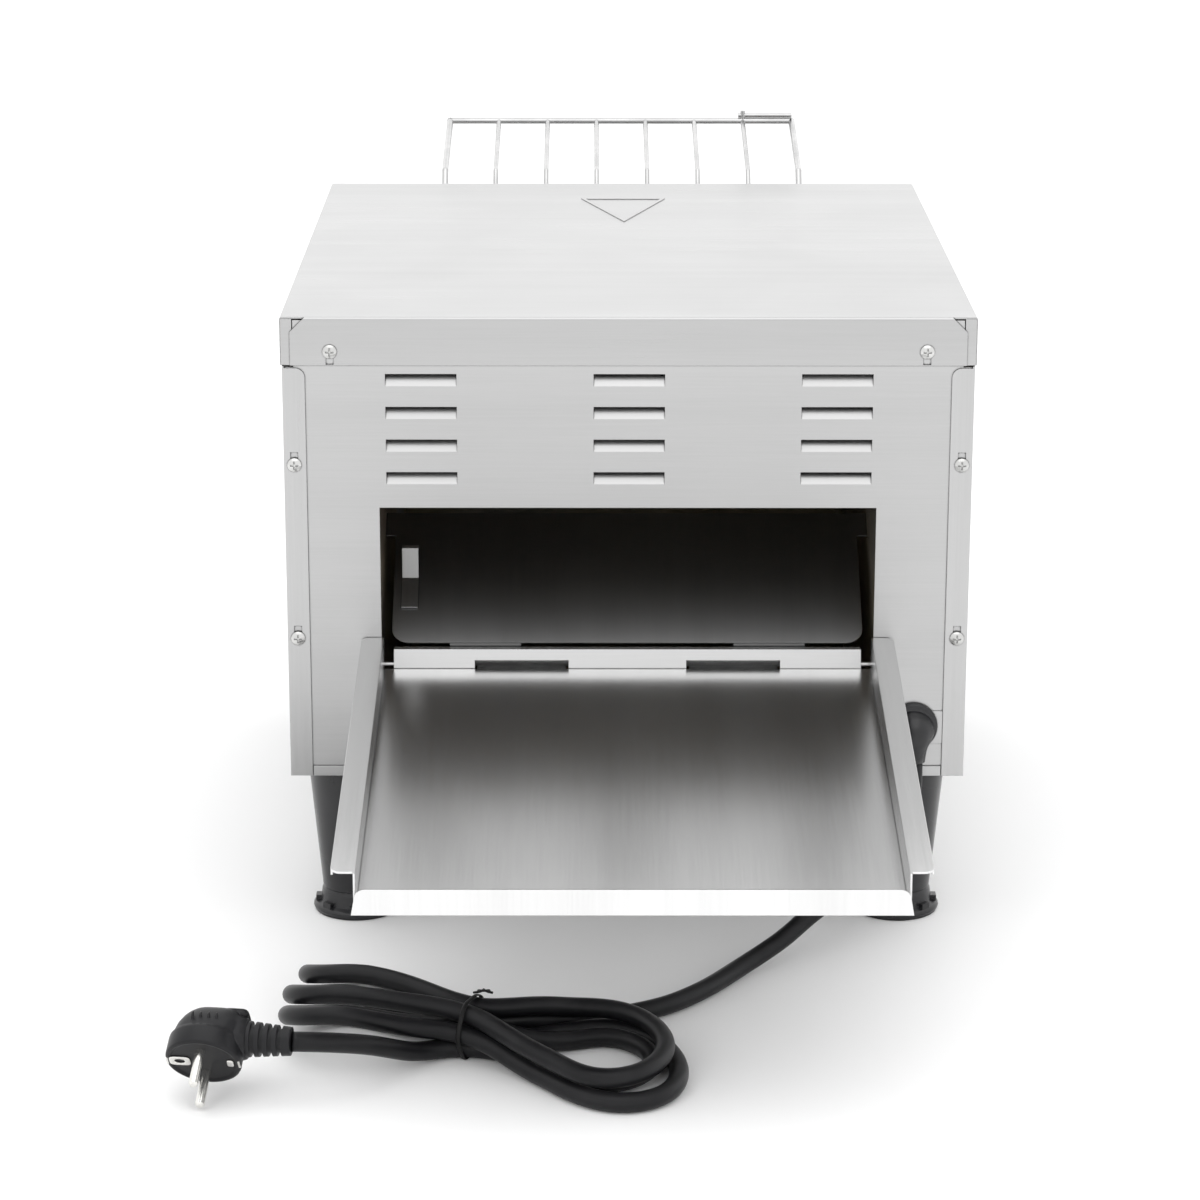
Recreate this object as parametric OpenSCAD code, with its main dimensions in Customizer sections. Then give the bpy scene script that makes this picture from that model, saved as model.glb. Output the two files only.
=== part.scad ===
// Commercial conveyor toaster, pass-through type, standing on four adjustable feet.
// The discharge side faces -Y and the feed side faces +Y. Millimetres, +Z up.
// Modules are written with y = 0 at the discharge face of the top cover and z = 0 on the worktop.

/* [Body] */
// Width over the side panels
body_w = 368; // [364:1:372]
// Depth of the top cover
body_d = 418; // [416:1:422]
// Height of the top cover above the worktop
cover_top = 344; // [343:1:348]
// Height of the body's underside above the worktop
body_bottom = 88.5; // [86:0.5:89]
// Height of the cover's skirt
skirt_h = 26; // [24:1:27]
// Sheet metal thickness
sheet = 1; // [0.8:0.1:1.2]
// Width of the side panels' front and rear flanges
flange_w = 12; // [10:1:13]

/* [Discharge] */
// Half width of the discharge opening
opening_half = 133.3; // [130:0.1:134]
// Top edge of the discharge opening
opening_top = 239.8; // [236:0.1:244]
// Bottom edge of the discharge opening
opening_low = 147.7; // [146:0.1:148]
// Length of the discharge tray, measured level
tray_len = 272; // [250:1:280]
// Fall of the discharge tray in degrees
tray_fall = 7.75; // [6:0.25:9]
// Half width of the discharge tray over its walls
tray_half = 133; // [131:0.5:134]
// Height of the tray walls
tray_wall = 19; // [15:1:22]

/* [Louvres] */
// Length of one louvre
louvre_len = 40; // [36:1:44]
// Height of one louvre
louvre_h = 6.7; // [5:0.1:8]
// Distance between louvre rows
louvre_pitch = 17.9; // [17:0.1:19]
// How far a louvre is pressed in
louvre_depth = 4; // [3:0.5:5]

/* [Conveyor] */
// Width of the conveyor belt
belt_w = 240; // [220:2:244]
// Outer radius of the belt where it turns
belt_r = 18.5; // [17:0.5:19]
// Thickness of the belt
belt_t = 2.5; // [2:0.5:3]
// Height of both belt shafts
shaft_z = 253; // [251:1:255]
// Teeth on the driven sprocket
driven_teeth = 16; // [14:1:18]
// Teeth on the motor sprocket
motor_teeth = 10; // [9:1:11]

/* [Feet] */
// Distance of the legs from the centre line
leg_x = 151; // [148:1:153]
// Radius of a leg at its top
leg_r_top = 26; // [24:1:27]
// Radius of a leg at its lower end
leg_r_low = 19; // [17:1:21]
// Radius of a foot pad
pad_r = 24.5; // [22:0.5:26]
// Height of a foot pad
pad_h = 14; // [12:1:15]

/* [Rack] */
// Distance of the outer wires from the centre line
rack_half = 114; // [110:1:116]
// Number of lengthwise wires
rack_wires = 8; // [6:1:10]
// Diameter of the frame wires
wire_d = 4; // [3.5:0.5:4.5]

/* [Hidden] */
$fn = 48;

// Overall places
half_w = body_w / 2;
skirt_z = cover_top - skirt_h;
inner_top = cover_top - sheet;
// Panels end just below the inner bends of the cover
panel_top = inner_top - 0.7;
pan_top = body_bottom + sheet;
far = body_d;
flange_x = half_w - flange_w;
front_face = far - sheet;
fit = 0.3;

// Loading rack: top bar, bend over the cover's edge, and lower end on the support rod
rack_top = [545, 364.2];
rack_bend = [452, 346.3];
rack_low = [403, 282];
rod_at = [402, 274.5];
rod_r = 2.5;
shift_y = -(rack_top[0] + wire_d / 2 - tray_len) / 2;

// Chamber and conveyor
chamber_half = 134.2;
drive_at = [385, shaft_z];
idler_at = [125, shaft_z];
shaft_r = 5;
shaft_gap = 0.05;
bush_r = 8;
belt_inner = belt_r - belt_t;
belt_sprockets = [-70, 0, 70];
upper_heater_y = [150, 210, 270, 330];
upper_heater_z = 316;
lower_heater_y = [200, 300];
heater_r = 5;
cap_r = 7;
heater_half = 138;
cap_len = 13;

// Chain drive in the right-hand compartment
motor_at = [325, 150];
motor_shaft_r = 4;
chain_pitch = 6.35;
chain_x = 143;
chain_w = 5;
tooth_h = 2;
chain_gap = 0.5;
chain_t = 3;
motor_pitch_r = chain_pitch / (2 * sin(180 / motor_teeth));
driven_pitch_r = chain_pitch / (2 * sin(180 / driven_teeth));

// Discharge tray and chute
hinge_z = 149.2;
tray_flange = 11;
lip_h = 13;
sill_low = [2.2, 149.5];
sill_high = [4.8, 159.3];
sill_back = [14.5, 157.8];
slot_x = [32, 83];
chute_low = [12, 160.5];
chute_high = [85, 214];
chute_half = 128.5;
chute_tab_x = [58, 97];

// Controls on the feed side
control_z = 165;
switch_x = -118;
heat_x = -52;
speed_x = 30;
lamp_x = 98;
knob_r = 18;
knob_h = 17;
spindle_r = 3;

// Cooling fan in the left-hand compartment
fan_at = [340, 160];
fan_size = 80;
fan_t = 25;
fan_x = -half_w + sheet + louvre_depth + fit;
fan_pin_r = 3;

// Mains lead: 10 mm rubber cord, from the gland to the worktop and into the tied hank
cord_d = 10;
gland_at = [156, 117];
cord_exit = [156, -7, 99];
lead_route = [
    cord_exit, [156, -8, 88], [154.5, -11, 77], [150, -16, 66], [143, -22, 56], [134, -28, 47.5],
    [123, -34, 40], [111, -40, 32], [99, -45, 24.5], [88, -52, 17], [77, -60, 11.5], [66, -69, 7.5],
    [55, -82, 5.5], [44, -98, 5], [33, -112, 5], [20, -125, 5], [6, -134, 5], [-10, -142, 5], [-20, -147, 5.5],
    [-40, -153, 8], [-58, -160, 12]
];
tail_route = [
    [-98, -193, 7], [-114, -204, 13.5], [-129, -214, 20], [-142, -223, 25], [-155, -230, 28.5], [-167, -233, 30]
];
hank_top = 36;
hank_low = 1.5;
tie_at = [-80, -177];
left_lobe = [-124, -132];
left_lobe_r = 56;
right_lobe = [-22, -203];
right_lobe_r = 52;
waist_r = 12;
tie_half = 26;

// Plug: centre of its pin face, and the turn of its pin axis from straight up
plug_face = [-210, -239.5, 21.6];
plug_turn = [125, 0, -8];
plug_r = 19;
pin_r = 2.4;
pin_len = 19;
pin_gap = 19;
relief_back = 15;
relief_start = 20;
relief_end = 42;

// ---------- helpers ----------
function unit(v) = v / norm(v);
function left_of(v) = [-v[1], v[0]];
// Direction in which the second face of a bent sheet lies at point i, mitred at the bends
function mitre(p, i) =
    let (a = i == 0 ? unit(p[1] - p[0]) : unit(p[i] - p[i - 1]),
         b = i == len(p) - 1 ? a : unit(p[i + 1] - p[i]),
         m = unit(left_of(a) + left_of(b)))
    m / (m * left_of(b));
// Outline of a sheet of thickness t that follows the open line p
function bent(p, t) = concat(p, [for (i = [len(p) - 1:-1:0]) p[i] + t * mitre(p, i)]);
function arc(c, r, a0, a1, n = 6) = [for (i = [0:n]) c + r * [cos(a0 + (a1 - a0) * i / n), sin(a0 + (a1 - a0) * i / n)]];
function tray_z(y) = hinge_z + y * tan(tray_fall);

// Puts a part drawn from the discharge face into the object's own frame
module placed() {
    translate([0, shift_y, 0]) children();
}
module both_sides() {
    children();
    mirror([1, 0, 0]) children();
}
module box(x, y, z) {
    translate([x[0], y[0], z[0]]) cube([x[1] - x[0], y[1] - y[0], z[1] - z[0]]);
}
// An outline in X and Z, given thickness along +Y from y
module wall_xz(y, t) {
    translate([0, y + t, 0]) rotate([90, 0, 0]) linear_extrude(t) children();
}
// An outline in Y and Z, carried along +X from x
module wall_yz(x, w) {
    translate([x, 0, 0]) rotate([90, 0, 90]) linear_extrude(w) children();
}
module rod_x(x, at, r, fn = 32) {
    translate([x[0], at[0], at[1]]) rotate([0, 90, 0]) cylinder(h = x[1] - x[0], r = r, $fn = fn);
}
module rod_y(y, at, r, fn = 32) {
    translate([at[0], y[1], at[1]]) rotate([90, 0, 0]) cylinder(h = y[1] - y[0], r = r, $fn = fn);
}
// A straight wire between two points in a plane of constant x
module wire_yz(x, a, b, r) {
    d = b - a;
    translate([x, a[0], a[1]]) rotate([-atan2(d[0], d[1]), 0, 0]) cylinder(h = norm(d), r = r, $fn = 20);
}
// A ball that closes the joint of two wires, a little fuller than the wire
module ball_yz(x, a, r) {
    translate([x, a[0], a[1]]) sphere(r = 1.05 * r, $fn = 20);
}
// Two circles joined by their outer tangents
module tangent_loop(a, ra, b, rb) {
    turn = atan2(b[1] - a[1], b[0] - a[0]);
    lean = acos((ra - rb) / norm(b - a));
    up = [cos(turn + lean), sin(turn + lean)];
    down = [cos(turn - lean), sin(turn - lean)];
    translate(a) circle(r = ra, $fn = 64);
    translate(b) circle(r = rb, $fn = 64);
    polygon([a + ra * up, a + ra * down, b + rb * down, b + rb * up]);
}
module chain_wheel(teeth, pitch_r, w, bore) {
    linear_extrude(w) difference() {
        union() {
            circle(r = pitch_r - 1.2);
            for (i = [0:teeth - 1]) rotate(i * 360 / teeth) polygon([
                [0, -1.7], [pitch_r, -1.1], [pitch_r + tooth_h, -0.5],
                [pitch_r + tooth_h, 0.5], [pitch_r, 1.1], [0, 1.7]
            ]);
        }
        circle(r = bore);
    }
}
// A pan-head screw pointing along +Y, its head's seat at y = 0
module pan_screw(length) {
    difference() {
        rotate([90, 0, 0]) rotate_extrude($fn = 32) polygon(concat(
            [[0, 0], [3.9, 0], [3.9, 0.5]], arc([0, -3.2], 5.5, 47, 90, 6)
        ));
        for (a = [0, 90]) rotate([0, a, 0]) translate([-2.2, -3.5, -0.45]) cube([4.4, 2, 0.9]);
    }
    rod_y([0, length], [0, 0], 1.9, 20);
}
// One inward-pressed louvre in a wall that spans y = 0 to sheet, centred on x, top edge at z
module louvre_hole(x, z) {
    translate([x - louvre_len / 2, -1, z - louvre_h]) cube([louvre_len, sheet + 2, louvre_h]);
}
module louvre_scoop(x, z) {
    reach = sheet + louvre_depth;
    half = louvre_len / 2;
    low = z - louvre_h;
    wall_yz(x - half, louvre_len) polygon([[0, low], [sheet, low], [reach, z - 1], [reach - sheet, z - 1]]);
    for (s = [-half, half - sheet])
        wall_yz(x + s, sheet) polygon([[0, low], [reach - sheet, z - 1], [reach, z - 1], [reach, z], [0, z]]);
}
module louvre_set(xs, rows, top) {
    for (x = xs, i = [0:rows - 1]) translate([x, 0, top - i * louvre_pitch]) children();
}
// A tube swept along a route of points, with rings square to the route
module tube(path, ref, r, n = 10) {
    last = len(path) - 1;
    points = [
        for (k = [0:last])
            let (t = unit(path[min(k + 1, last)] - path[max(k - 1, 0)]),
                 u = unit(cross(t, ref)),
                 v = cross(t, u))
            for (i = [0:n - 1]) path[k] + r * (cos(360 * i / n) * u + sin(360 * i / n) * v)
    ];
    faces = concat(
        [[for (i = [0:n - 1]) i]],
        [[for (i = [n - 1:-1:0]) last * n + i]],
        [for (k = [0:last - 1], i = [0:n - 1]) [k * n + i, (k + 1) * n + i, (k + 1) * n + (i + 1) % n]],
        [for (k = [0:last - 1], i = [0:n - 1]) [k * n + i, (k + 1) * n + (i + 1) % n, k * n + (i + 1) % n]]
    );
    polyhedron(points, faces);
}

// ---------- casing ----------
rear_louvre_x = [-110.4, 0.5, 111.3];
rear_louvre_top = 313.2;
screw_z = [263.7, 167];
side_screw_x = half_w - 5.6;
cover_screw_x = 158.5;
cover_screw_z = 325.5;

module base_pan() color("silver") placed() difference() {
    union() {
        box([-half_w + sheet + 0.2, half_w - sheet - 0.2], [sheet, front_face], [body_bottom, pan_top]);
        box([-flange_x + 0.5, flange_x - 0.5], [0, sheet], [body_bottom, body_bottom + 5.5]);
        for (s = [-1, 1]) translate([s * (half_w - sheet - 0.7), 0, 0])
            box([-0.5, 0.5], [2 * sheet + 0.2, far - 2 * sheet - 0.2], [body_bottom, body_bottom + 14]);
    }
    for (x = [-100:25:100], y = [60:30:120])
        translate([x, y, body_bottom - 1]) cylinder(h = 4, r = 3, $fn = 24);
}

module rear_panel() color("gainsboro") placed() {
    translate([0, sheet, 0]) {
        difference() {
            union() {
                box([-half_w + sheet, half_w - sheet], [0, sheet], [pan_top, skirt_z - 1]);
                box([-half_w + 6, half_w - 6], [0, sheet], [skirt_z - 1, panel_top]);
            }
            box([-opening_half, opening_half], [-1, 3], [opening_low, opening_top]);
            louvre_set(rear_louvre_x, 4, rear_louvre_top) louvre_hole(0, 0);
            for (s = [-1, 1], z = screw_z) rod_y([-1, 3], [s * side_screw_x, z], 2.1);
            for (s = [-1, 1]) rod_y([-1, 3], [s * cover_screw_x, cover_screw_z], 2.1);
            rod_y([-1, 3], gland_at, 8.2);
        }
        louvre_set(rear_louvre_x, 4, rear_louvre_top) louvre_scoop(0, 0);
    }
}

// Flange of a side panel, in X and Z, with a rounded inner top corner and screw slots
module side_flange() {
    top = skirt_z - 1.5;
    difference() {
        polygon(concat(
            [[flange_x, body_bottom], [half_w, body_bottom], [half_w, top]],
            arc([flange_x + 5, top - 5], 5, 90, 180)
        ));
        for (z = screw_z) translate([side_screw_x - 2.1, z - 2.1]) square([4.2, 9]);
    }
}
side_louvre_y = [98, 209, 320];
side_low_louvre_y = [315, 365];
module side_panel() {
    for (y = [0, front_face]) wall_xz(y, sheet) side_flange();
    translate([half_w, 0, 0]) {
        difference() {
            union() {
                box([-sheet, 0], [0, far], [body_bottom, skirt_z - 0.3]);
                box([-sheet, 0], [2 * sheet + fit, far - 2 * sheet - fit], [skirt_z - 1, panel_top]);
            }
            // the louvre pattern is drawn on a wall facing -Y and turned to face +X
            rotate([0, 0, 90]) louvre_set(side_louvre_y, 3, 295) louvre_hole(0, 0);
            rotate([0, 0, 90]) louvre_set(side_low_louvre_y, 5, 196) louvre_hole(0, 0);
        }
        rotate([0, 0, 90]) louvre_set(side_louvre_y, 3, 295) louvre_scoop(0, 0);
        rotate([0, 0, 90]) louvre_set(side_low_louvre_y, 5, 196) louvre_scoop(0, 0);
    }
}
module right_side_panel() color("gainsboro") placed() side_panel();
module left_side_panel() color("gainsboro") placed() mirror([1, 0, 0]) side_panel();

feed_half = 130;
feed_low = 262;
feed_top = 338;
crumb_slot_top = 109;
module front_panel() color("gainsboro") placed() translate([0, far - 2 * sheet, 0]) difference() {
    union() {
        box([-half_w + sheet, half_w - sheet], [0, sheet], [pan_top, skirt_z - 1]);
        box([-half_w + 6, half_w - 6], [0, sheet], [skirt_z - 1, panel_top]);
    }
    box([-feed_half, feed_half], [-1, 3], [feed_low, feed_top]);
    box([-chamber_half + 1, chamber_half - 1], [-1, 3], [pan_top - 1, crumb_slot_top]);
    box([switch_x - 14.2, switch_x + 14.2], [-1, 3], [control_z - 11.2, control_z + 11.2]);
    for (x = [heat_x, speed_x]) rod_y([-1, 3], [x, control_z], 3.7);
    rod_y([-1, 3], [lamp_x, control_z], 6.1);
    for (s = [-1, 1], z = screw_z) rod_y([-1, 3], [s * side_screw_x, z], 2.1);
    for (s = [-1, 1]) rod_y([-1, 3], [s * cover_screw_x, cover_screw_z], 2.1);
}

cover_half = half_w + sheet;
skirt_half = 179.6;
corner_cut = 8;
bend_r = 1.5;
// Cross-section of the cover over one direction: top sheet with a turned-down skirt at each end
module cover_section(a, b) {
    line = concat(
        [[a, skirt_z]], arc([a + bend_r, cover_top - bend_r], bend_r, 180, 90, 4),
        arc([b - bend_r, cover_top - bend_r], bend_r, 90, 0, 4), [[b, skirt_z]]
    );
    polygon(bent(line, -sheet));
}
module cover_end_cuts() {
    for (s = [-1, 1]) scale([s, 1, 1]) {
        for (y = [-1, far - bend_r]) wall_xz(y, bend_r + 1)
            polygon([
                [skirt_half - corner_cut, cover_top + 1], [skirt_half - corner_cut, cover_top],
                [skirt_half, cover_top - corner_cut], [skirt_half, skirt_z - 1],
                [cover_half + 1, skirt_z - 1], [cover_half + 1, cover_top + 1]
            ]);
        for (y = [-1, far - 2]) wall_xz(y, 3)
            translate([cover_screw_x - 2.1, cover_screw_z - 7]) square([4.2, 9.1]);
    }
}
module top_cover() color("whitesmoke") placed() {
    difference() {
        union() {
            wall_yz(-skirt_half, 2 * skirt_half) cover_section(0, far);
            translate([0, far - bend_r, 0]) rotate([90, 0, 0]) linear_extrude(far - 2 * bend_r)
                cover_section(-cover_half, cover_half);
        }
        cover_end_cuts();
        wall_xz(far - 3, 4) translate([-136, skirt_z - 1]) square([272, feed_top - skirt_z + 1]);
    }
    // tabs that close the corners behind the end skirts
    for (s = [-1, 1], y = [sheet, far - 2 * sheet]) scale([s, 1, 1])
        box([half_w - 5.5, half_w + 0.5], [y, y + sheet], [skirt_z, cover_top - sheet]);
    // pressed triangle near the feed edge
    translate([0, 0, cover_top]) linear_extrude(0.5) difference() {
        polygon([[-26, 360.5], [26, 360.5], [0, 281]]);
        polygon([[-23, 358.5], [23, 358.5], [0, 288]]);
    }
}

// ---------- chamber ----------
module chamber_wall() difference() {
    union() {
        box([chamber_half, chamber_half + sheet], [2 * sheet, far - 2 * sheet], [pan_top, inner_top]);
        box([chamber_half, chamber_half + 10], [120, 400], [pan_top, pan_top + sheet]);
    }
    for (at = [drive_at, idler_at]) rod_x([130, 140], at, bush_r + 0.05);
    for (y = upper_heater_y) rod_x([130, 140], [y, upper_heater_z], heater_r + 0.3);
    for (y = lower_heater_y) rod_x([130, 140], [y, shaft_z], heater_r + 0.3);
}
module right_chamber_wall() color("darkgray") placed() difference() {
    chamber_wall();
    rod_x([130, 140], motor_at, 6);
}
module left_chamber_wall() color("darkgray") placed() mirror([1, 0, 0]) chamber_wall();

module heat_reflector() color("silver") placed() {
    line = [[6, 246], [30, 300], [90, 328], [345, 328], [372, 339]];
    wall_yz(-chamber_half, 2 * chamber_half) polygon(bent(line, sheet));
}
module heat_shield() color("silver") placed() {
    line = [[far - 2 * sheet - 0.5, 232], [290, 216], [290, 113]];
    wall_yz(-chamber_half, 2 * chamber_half) polygon(bent(line, sheet));
}

module discharge_sill() color("whitesmoke") placed() {
    line = [[sill_low[0], 128], sill_low, sill_high, sill_back, [sill_back[0], 147]];
    difference() {
        wall_yz(-127, 254) polygon(bent(line, -sheet));
        for (s = [-1, 1]) scale([s, 1, 1]) box(slot_x, [0, 7], [147.8, 153.5]);
    }
    // pivot studs at both ends
    for (s = [-1, 1]) scale([s, 1, 1]) rod_x([127, chamber_half], [6, 150.5], 1.2);
}
module chute() color("dimgray") placed() {
    slope = atan2(chute_high[1] - chute_low[1], chute_high[0] - chute_low[0]);
    long = norm(chute_high - chute_low);
    // plate with rounded lower corners, and ears that hold its upper edge on the chamber walls
    translate([0, chute_low[0], chute_low[1]]) rotate([slope, 0, 0]) {
        linear_extrude(sheet) polygon(concat(
            [[-chute_half, long - 16], [-chute_half, 9]], arc([-chute_half + 9, 9], 9, 180, 270),
            arc([chute_half - 9, 9], 9, 270, 360),
            [[chute_half, long - 16], [chamber_half, long - 16], [chamber_half, long],
             [-chamber_half, long], [-chamber_half, long - 16]]
        ));
        // turned-down side flanges
        both_sides() translate([chute_half - sheet, 24, -9]) cube([sheet, 46, 9 + sheet / 2]);
        // tabs that reach down behind the sill's raised edge
        both_sides() translate([chute_tab_x[0], 4.5, 0]) rotate([-slope, 0, 0])
            translate([0, 0, -13]) cube([chute_tab_x[1] - chute_tab_x[0], 0.8, 13.5]);
    }
}
module chute_clip() color("whitesmoke") placed() {
    wall_yz(-124, 9) polygon(bent([[30, 175.1], [47, 187.6], [47, 204], [52, 204]], sheet));
}

// ---------- trays ----------
// A slab that falls with the tray floor, from lo to hi above the tray's underside
module tray_slab(lo, hi) {
    wall_yz(-200, 400) polygon([
        [-tray_len, tray_z(-tray_len) - sheet + lo], [20, tray_z(20) - sheet + lo],
        [20, tray_z(20) - sheet + hi], [-tray_len, tray_z(-tray_len) - sheet + hi]
    ]);
}
module tray_flange_plan() {
    polygon(concat(
        [[tray_half - sheet, -tray_len + 6], [tray_half - sheet, 0.6]],
        arc([tray_half + tray_flange - 5, -4.4], 5, 90, 0),
        arc([tray_half + tray_flange - 5, -tray_len + 11], 5, 0, -90)
    ));
}
module discharge_tray() color("silver") placed() {
    low = tray_z(-tray_len) - sheet;
    intersection() {
        tray_slab(0, sheet);
        linear_extrude(400) {
            translate([-tray_half, -tray_len]) square([2 * tray_half, tray_len + 0.6]);
            for (s = [-1, 1]) scale([s, 1])
                translate([slot_x[0] + 1.5, 0]) square([slot_x[1] - slot_x[0] - 3, 6.4]);
        }
    }
    both_sides() {
        intersection() {
            tray_slab(0, tray_wall);
            linear_extrude(400) translate([tray_half - sheet, -tray_len + 4]) square([sheet, tray_len - 3.4]);
        }
        intersection() {
            tray_slab(tray_wall - sheet, tray_wall);
            linear_extrude(400) tray_flange_plan();
        }
        // turned-down hem along the outer edge of the flange
        intersection() {
            tray_slab(tray_wall - 4, tray_wall);
            linear_extrude(400) translate([tray_half + tray_flange - sheet, -tray_len + 11]) square([sheet, tray_len - 16]);
        }
    }
    // upturned outer lip with rounded free corners
    wall_xz(-tray_len, sheet) polygon(concat(
        [[-tray_half - 1, low], [tray_half + 1, low]],
        arc([tray_half - 5.5, low + lip_h - 5], 5, 10, 90), arc([-tray_half + 5.5, low + lip_h - 5], 5, 90, 170)
    ));
}

crumb_half = 131;
crumb_low = pan_top + 0.6;
module crumb_tray() color("silver") placed() {
    box([-crumb_half, crumb_half], [8, far + fit], [crumb_low, crumb_low + sheet]);
    for (s = [-1, 1]) scale([s, 1, 1]) box([crumb_half - sheet, crumb_half], [8, far + fit], [crumb_low, crumb_low + 16]);
    box([-crumb_half, crumb_half], [8, 8 + sheet], [crumb_low, crumb_low + 16]);
    // front plate with a bent finger pull
    wall_yz(-136, 272) polygon(bent([[far + fit, crumb_low], [far + fit, 113]], -sheet));
    wall_yz(-45, 90) polygon(bent([[far + fit + sheet, 112.9], [far + 14, 112.9], [far + 14, 104]], -sheet));
}

// ---------- loading rack ----------
rack_step = 2 * rack_half / (rack_wires - 1);
module rack_wire(x, r) {
    wire_yz(x, rack_low, rack_bend, r);
    ball_yz(x, rack_bend, r);
    wire_yz(x, rack_bend, rack_top, r);
    ball_yz(x, rack_top, r);
    ball_yz(x, rack_low, r);
}
module loading_rack() color("lightgray") placed() {
    r = wire_d / 2;
    for (i = [0:rack_wires - 1])
        rack_wire(-rack_half + i * rack_step, i == 0 || i == rack_wires - 1 ? r : r - 0.5);
    rod_x([-rack_half, rack_half], rack_top, r);
    rod_x([-rack_half, rack_half], rack_low, r);
    // lapped end of the frame wire beside the top bar, and the wire end that stands up from it
    rod_x([rack_half - rack_step - 3, rack_half], rack_top + [0.4, wire_d - 0.2], r - 0.4);
    translate([rack_half - rack_step, rack_top[0], rack_top[1]]) cylinder(h = 7, r = r - 0.5, $fn = 20);
    // hooks that sit over the support rod
    for (s = [-1, 1]) scale([s, 1, 1]) translate([rack_half - 12, 0, 0]) wall_yz(0, 3) difference() {
        polygon([[394, 284], [394, 272], [409, 270], [410, 284]]);
        translate(rod_at) circle(r = rod_r + fit);
        translate(rod_at) rotate(atan2(rack_low[1] - rack_bend[1], rack_low[0] - rack_bend[0]))
            translate([0, -rod_r - fit]) square([20, 2 * (rod_r + fit)]);
    }
}
module rack_support_rod() color("silver") placed() rod_x([-chamber_half, chamber_half], rod_at, rod_r);

// ---------- feet ----------
leg_y = [33, 385];
stud_r = 4;
stud_len = 30;
leg_low = pad_h + fit;
leg_places = [[-leg_x, leg_y[0]], [leg_x, leg_y[0]], [leg_x, leg_y[1]], [-leg_x, leg_y[1]]];
module legs() color("black") placed() for (at = leg_places) translate(at) difference() {
    translate([0, 0, leg_low]) cylinder(h = body_bottom - leg_low, r1 = leg_r_low, r2 = leg_r_top, $fn = 64);
    translate([0, 0, leg_low - 1]) cylinder(h = stud_len + 4, r = stud_r + shaft_gap);
}
module foot_pad(at) color("black") placed() translate(at) {
    rotate_extrude($fn = 64) polygon(concat(
        [[0, 0], [pad_r - 1, 0]], arc([pad_r - 2, 2.5], 2, -60, 70, 5),
        [[pad_r - 4, 5.5], [leg_r_low + 0.5, pad_h - 2], [leg_r_low - 0.5, pad_h], [0, pad_h]]
    ));
    for (a = [0:45:315]) rotate(a) translate([pad_r - 6, -3, 2.5]) cube([4.6, 6, 5]);
    cylinder(h = pad_h + stud_len, r = stud_r);
}
module foot_pad_1() foot_pad(leg_places[0]);
module foot_pad_2() foot_pad(leg_places[1]);
module foot_pad_3() foot_pad(leg_places[2]);
module foot_pad_4() foot_pad(leg_places[3]);

// ---------- conveyor ----------
module conveyor_belt() color("gray") placed() wall_yz(-belt_w / 2, belt_w) difference() {
    tangent_loop(idler_at, belt_r, drive_at, belt_r);
    tangent_loop(idler_at, belt_inner, drive_at, belt_inner);
}
module belt_slides() color("silver") placed() {
    for (x = [-100, -35, 35, 100])
        box([x - 1.5, x + 1.5], [148, 362], [shaft_z + 8, shaft_z + belt_inner - 0.1]);
    for (y = [165, 345]) rod_x([-chamber_half, chamber_half], [y, shaft_z + 9], 3, 24);
}
module belt_shaft(at, x) {
    rod_x(x, at, shaft_r);
    for (s = belt_sprockets) translate([s - 3, at[0], at[1]]) rotate([0, 90, 0]) {
        linear_extrude(6) difference() {
            union() {
                circle(r = 11.5);
                for (i = [0:9]) rotate(i * 36) polygon([[0, -3], [belt_inner - 0.7, -1.2], [belt_inner - 0.7, 1.2], [0, 3]]);
            }
            circle(r = shaft_r);
        }
    }
}
module drive_shaft() color("silver") placed() belt_shaft(drive_at, [-142, 152]);
module idler_shaft() color("silver") placed() belt_shaft(idler_at, [-142, 142]);
module shaft_bearings() color("peru") placed() for (at = [drive_at, idler_at]) both_sides() difference() {
    union() {
        rod_x([chamber_half - 0.4, chamber_half + 2], at, bush_r);
        rod_x([chamber_half + sheet, chamber_half + sheet + 3], at, bush_r + 3);
    }
    rod_x([chamber_half - 2, chamber_half + 6], at, shaft_r + shaft_gap);
}
module driven_sprocket() color("dimgray") placed() translate([chain_x, drive_at[0], drive_at[1]])
    rotate([0, 90, 0]) chain_wheel(driven_teeth, driven_pitch_r, chain_w, shaft_r + 0.02);
module motor_sprocket() color("dimgray") placed() {
    translate([chain_x, motor_at[0], motor_at[1]]) rotate([0, 90, 0])
        chain_wheel(motor_teeth, motor_pitch_r, chain_w, motor_shaft_r - 1);
    rod_x([112, chain_x + chain_w + 3], motor_at, motor_shaft_r);
}
module chain_outline(extra) {
    tangent_loop(
        motor_at, motor_pitch_r + tooth_h + chain_gap + extra,
        drive_at, driven_pitch_r + tooth_h + chain_gap + extra
    );
}
module drive_chain() color("dimgray") placed() wall_yz(chain_x, chain_w) difference() {
    chain_outline(chain_t);
    chain_outline(0);
}
module gear_motor() color("darkslategray") placed() difference() {
    union() {
        box([104, 132], [motor_at[0] - 27, motor_at[0] + 27], [motor_at[1] - 32, motor_at[1] + 32]);
        rod_x([52, 104], motor_at + [0, 4], 24);
        rod_x([46, 52], motor_at + [0, 4], 8);
        rod_x([132, 133], motor_at, 9);
    }
    rod_x([110, 134], motor_at, motor_shaft_r + shaft_gap);
}
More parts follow.
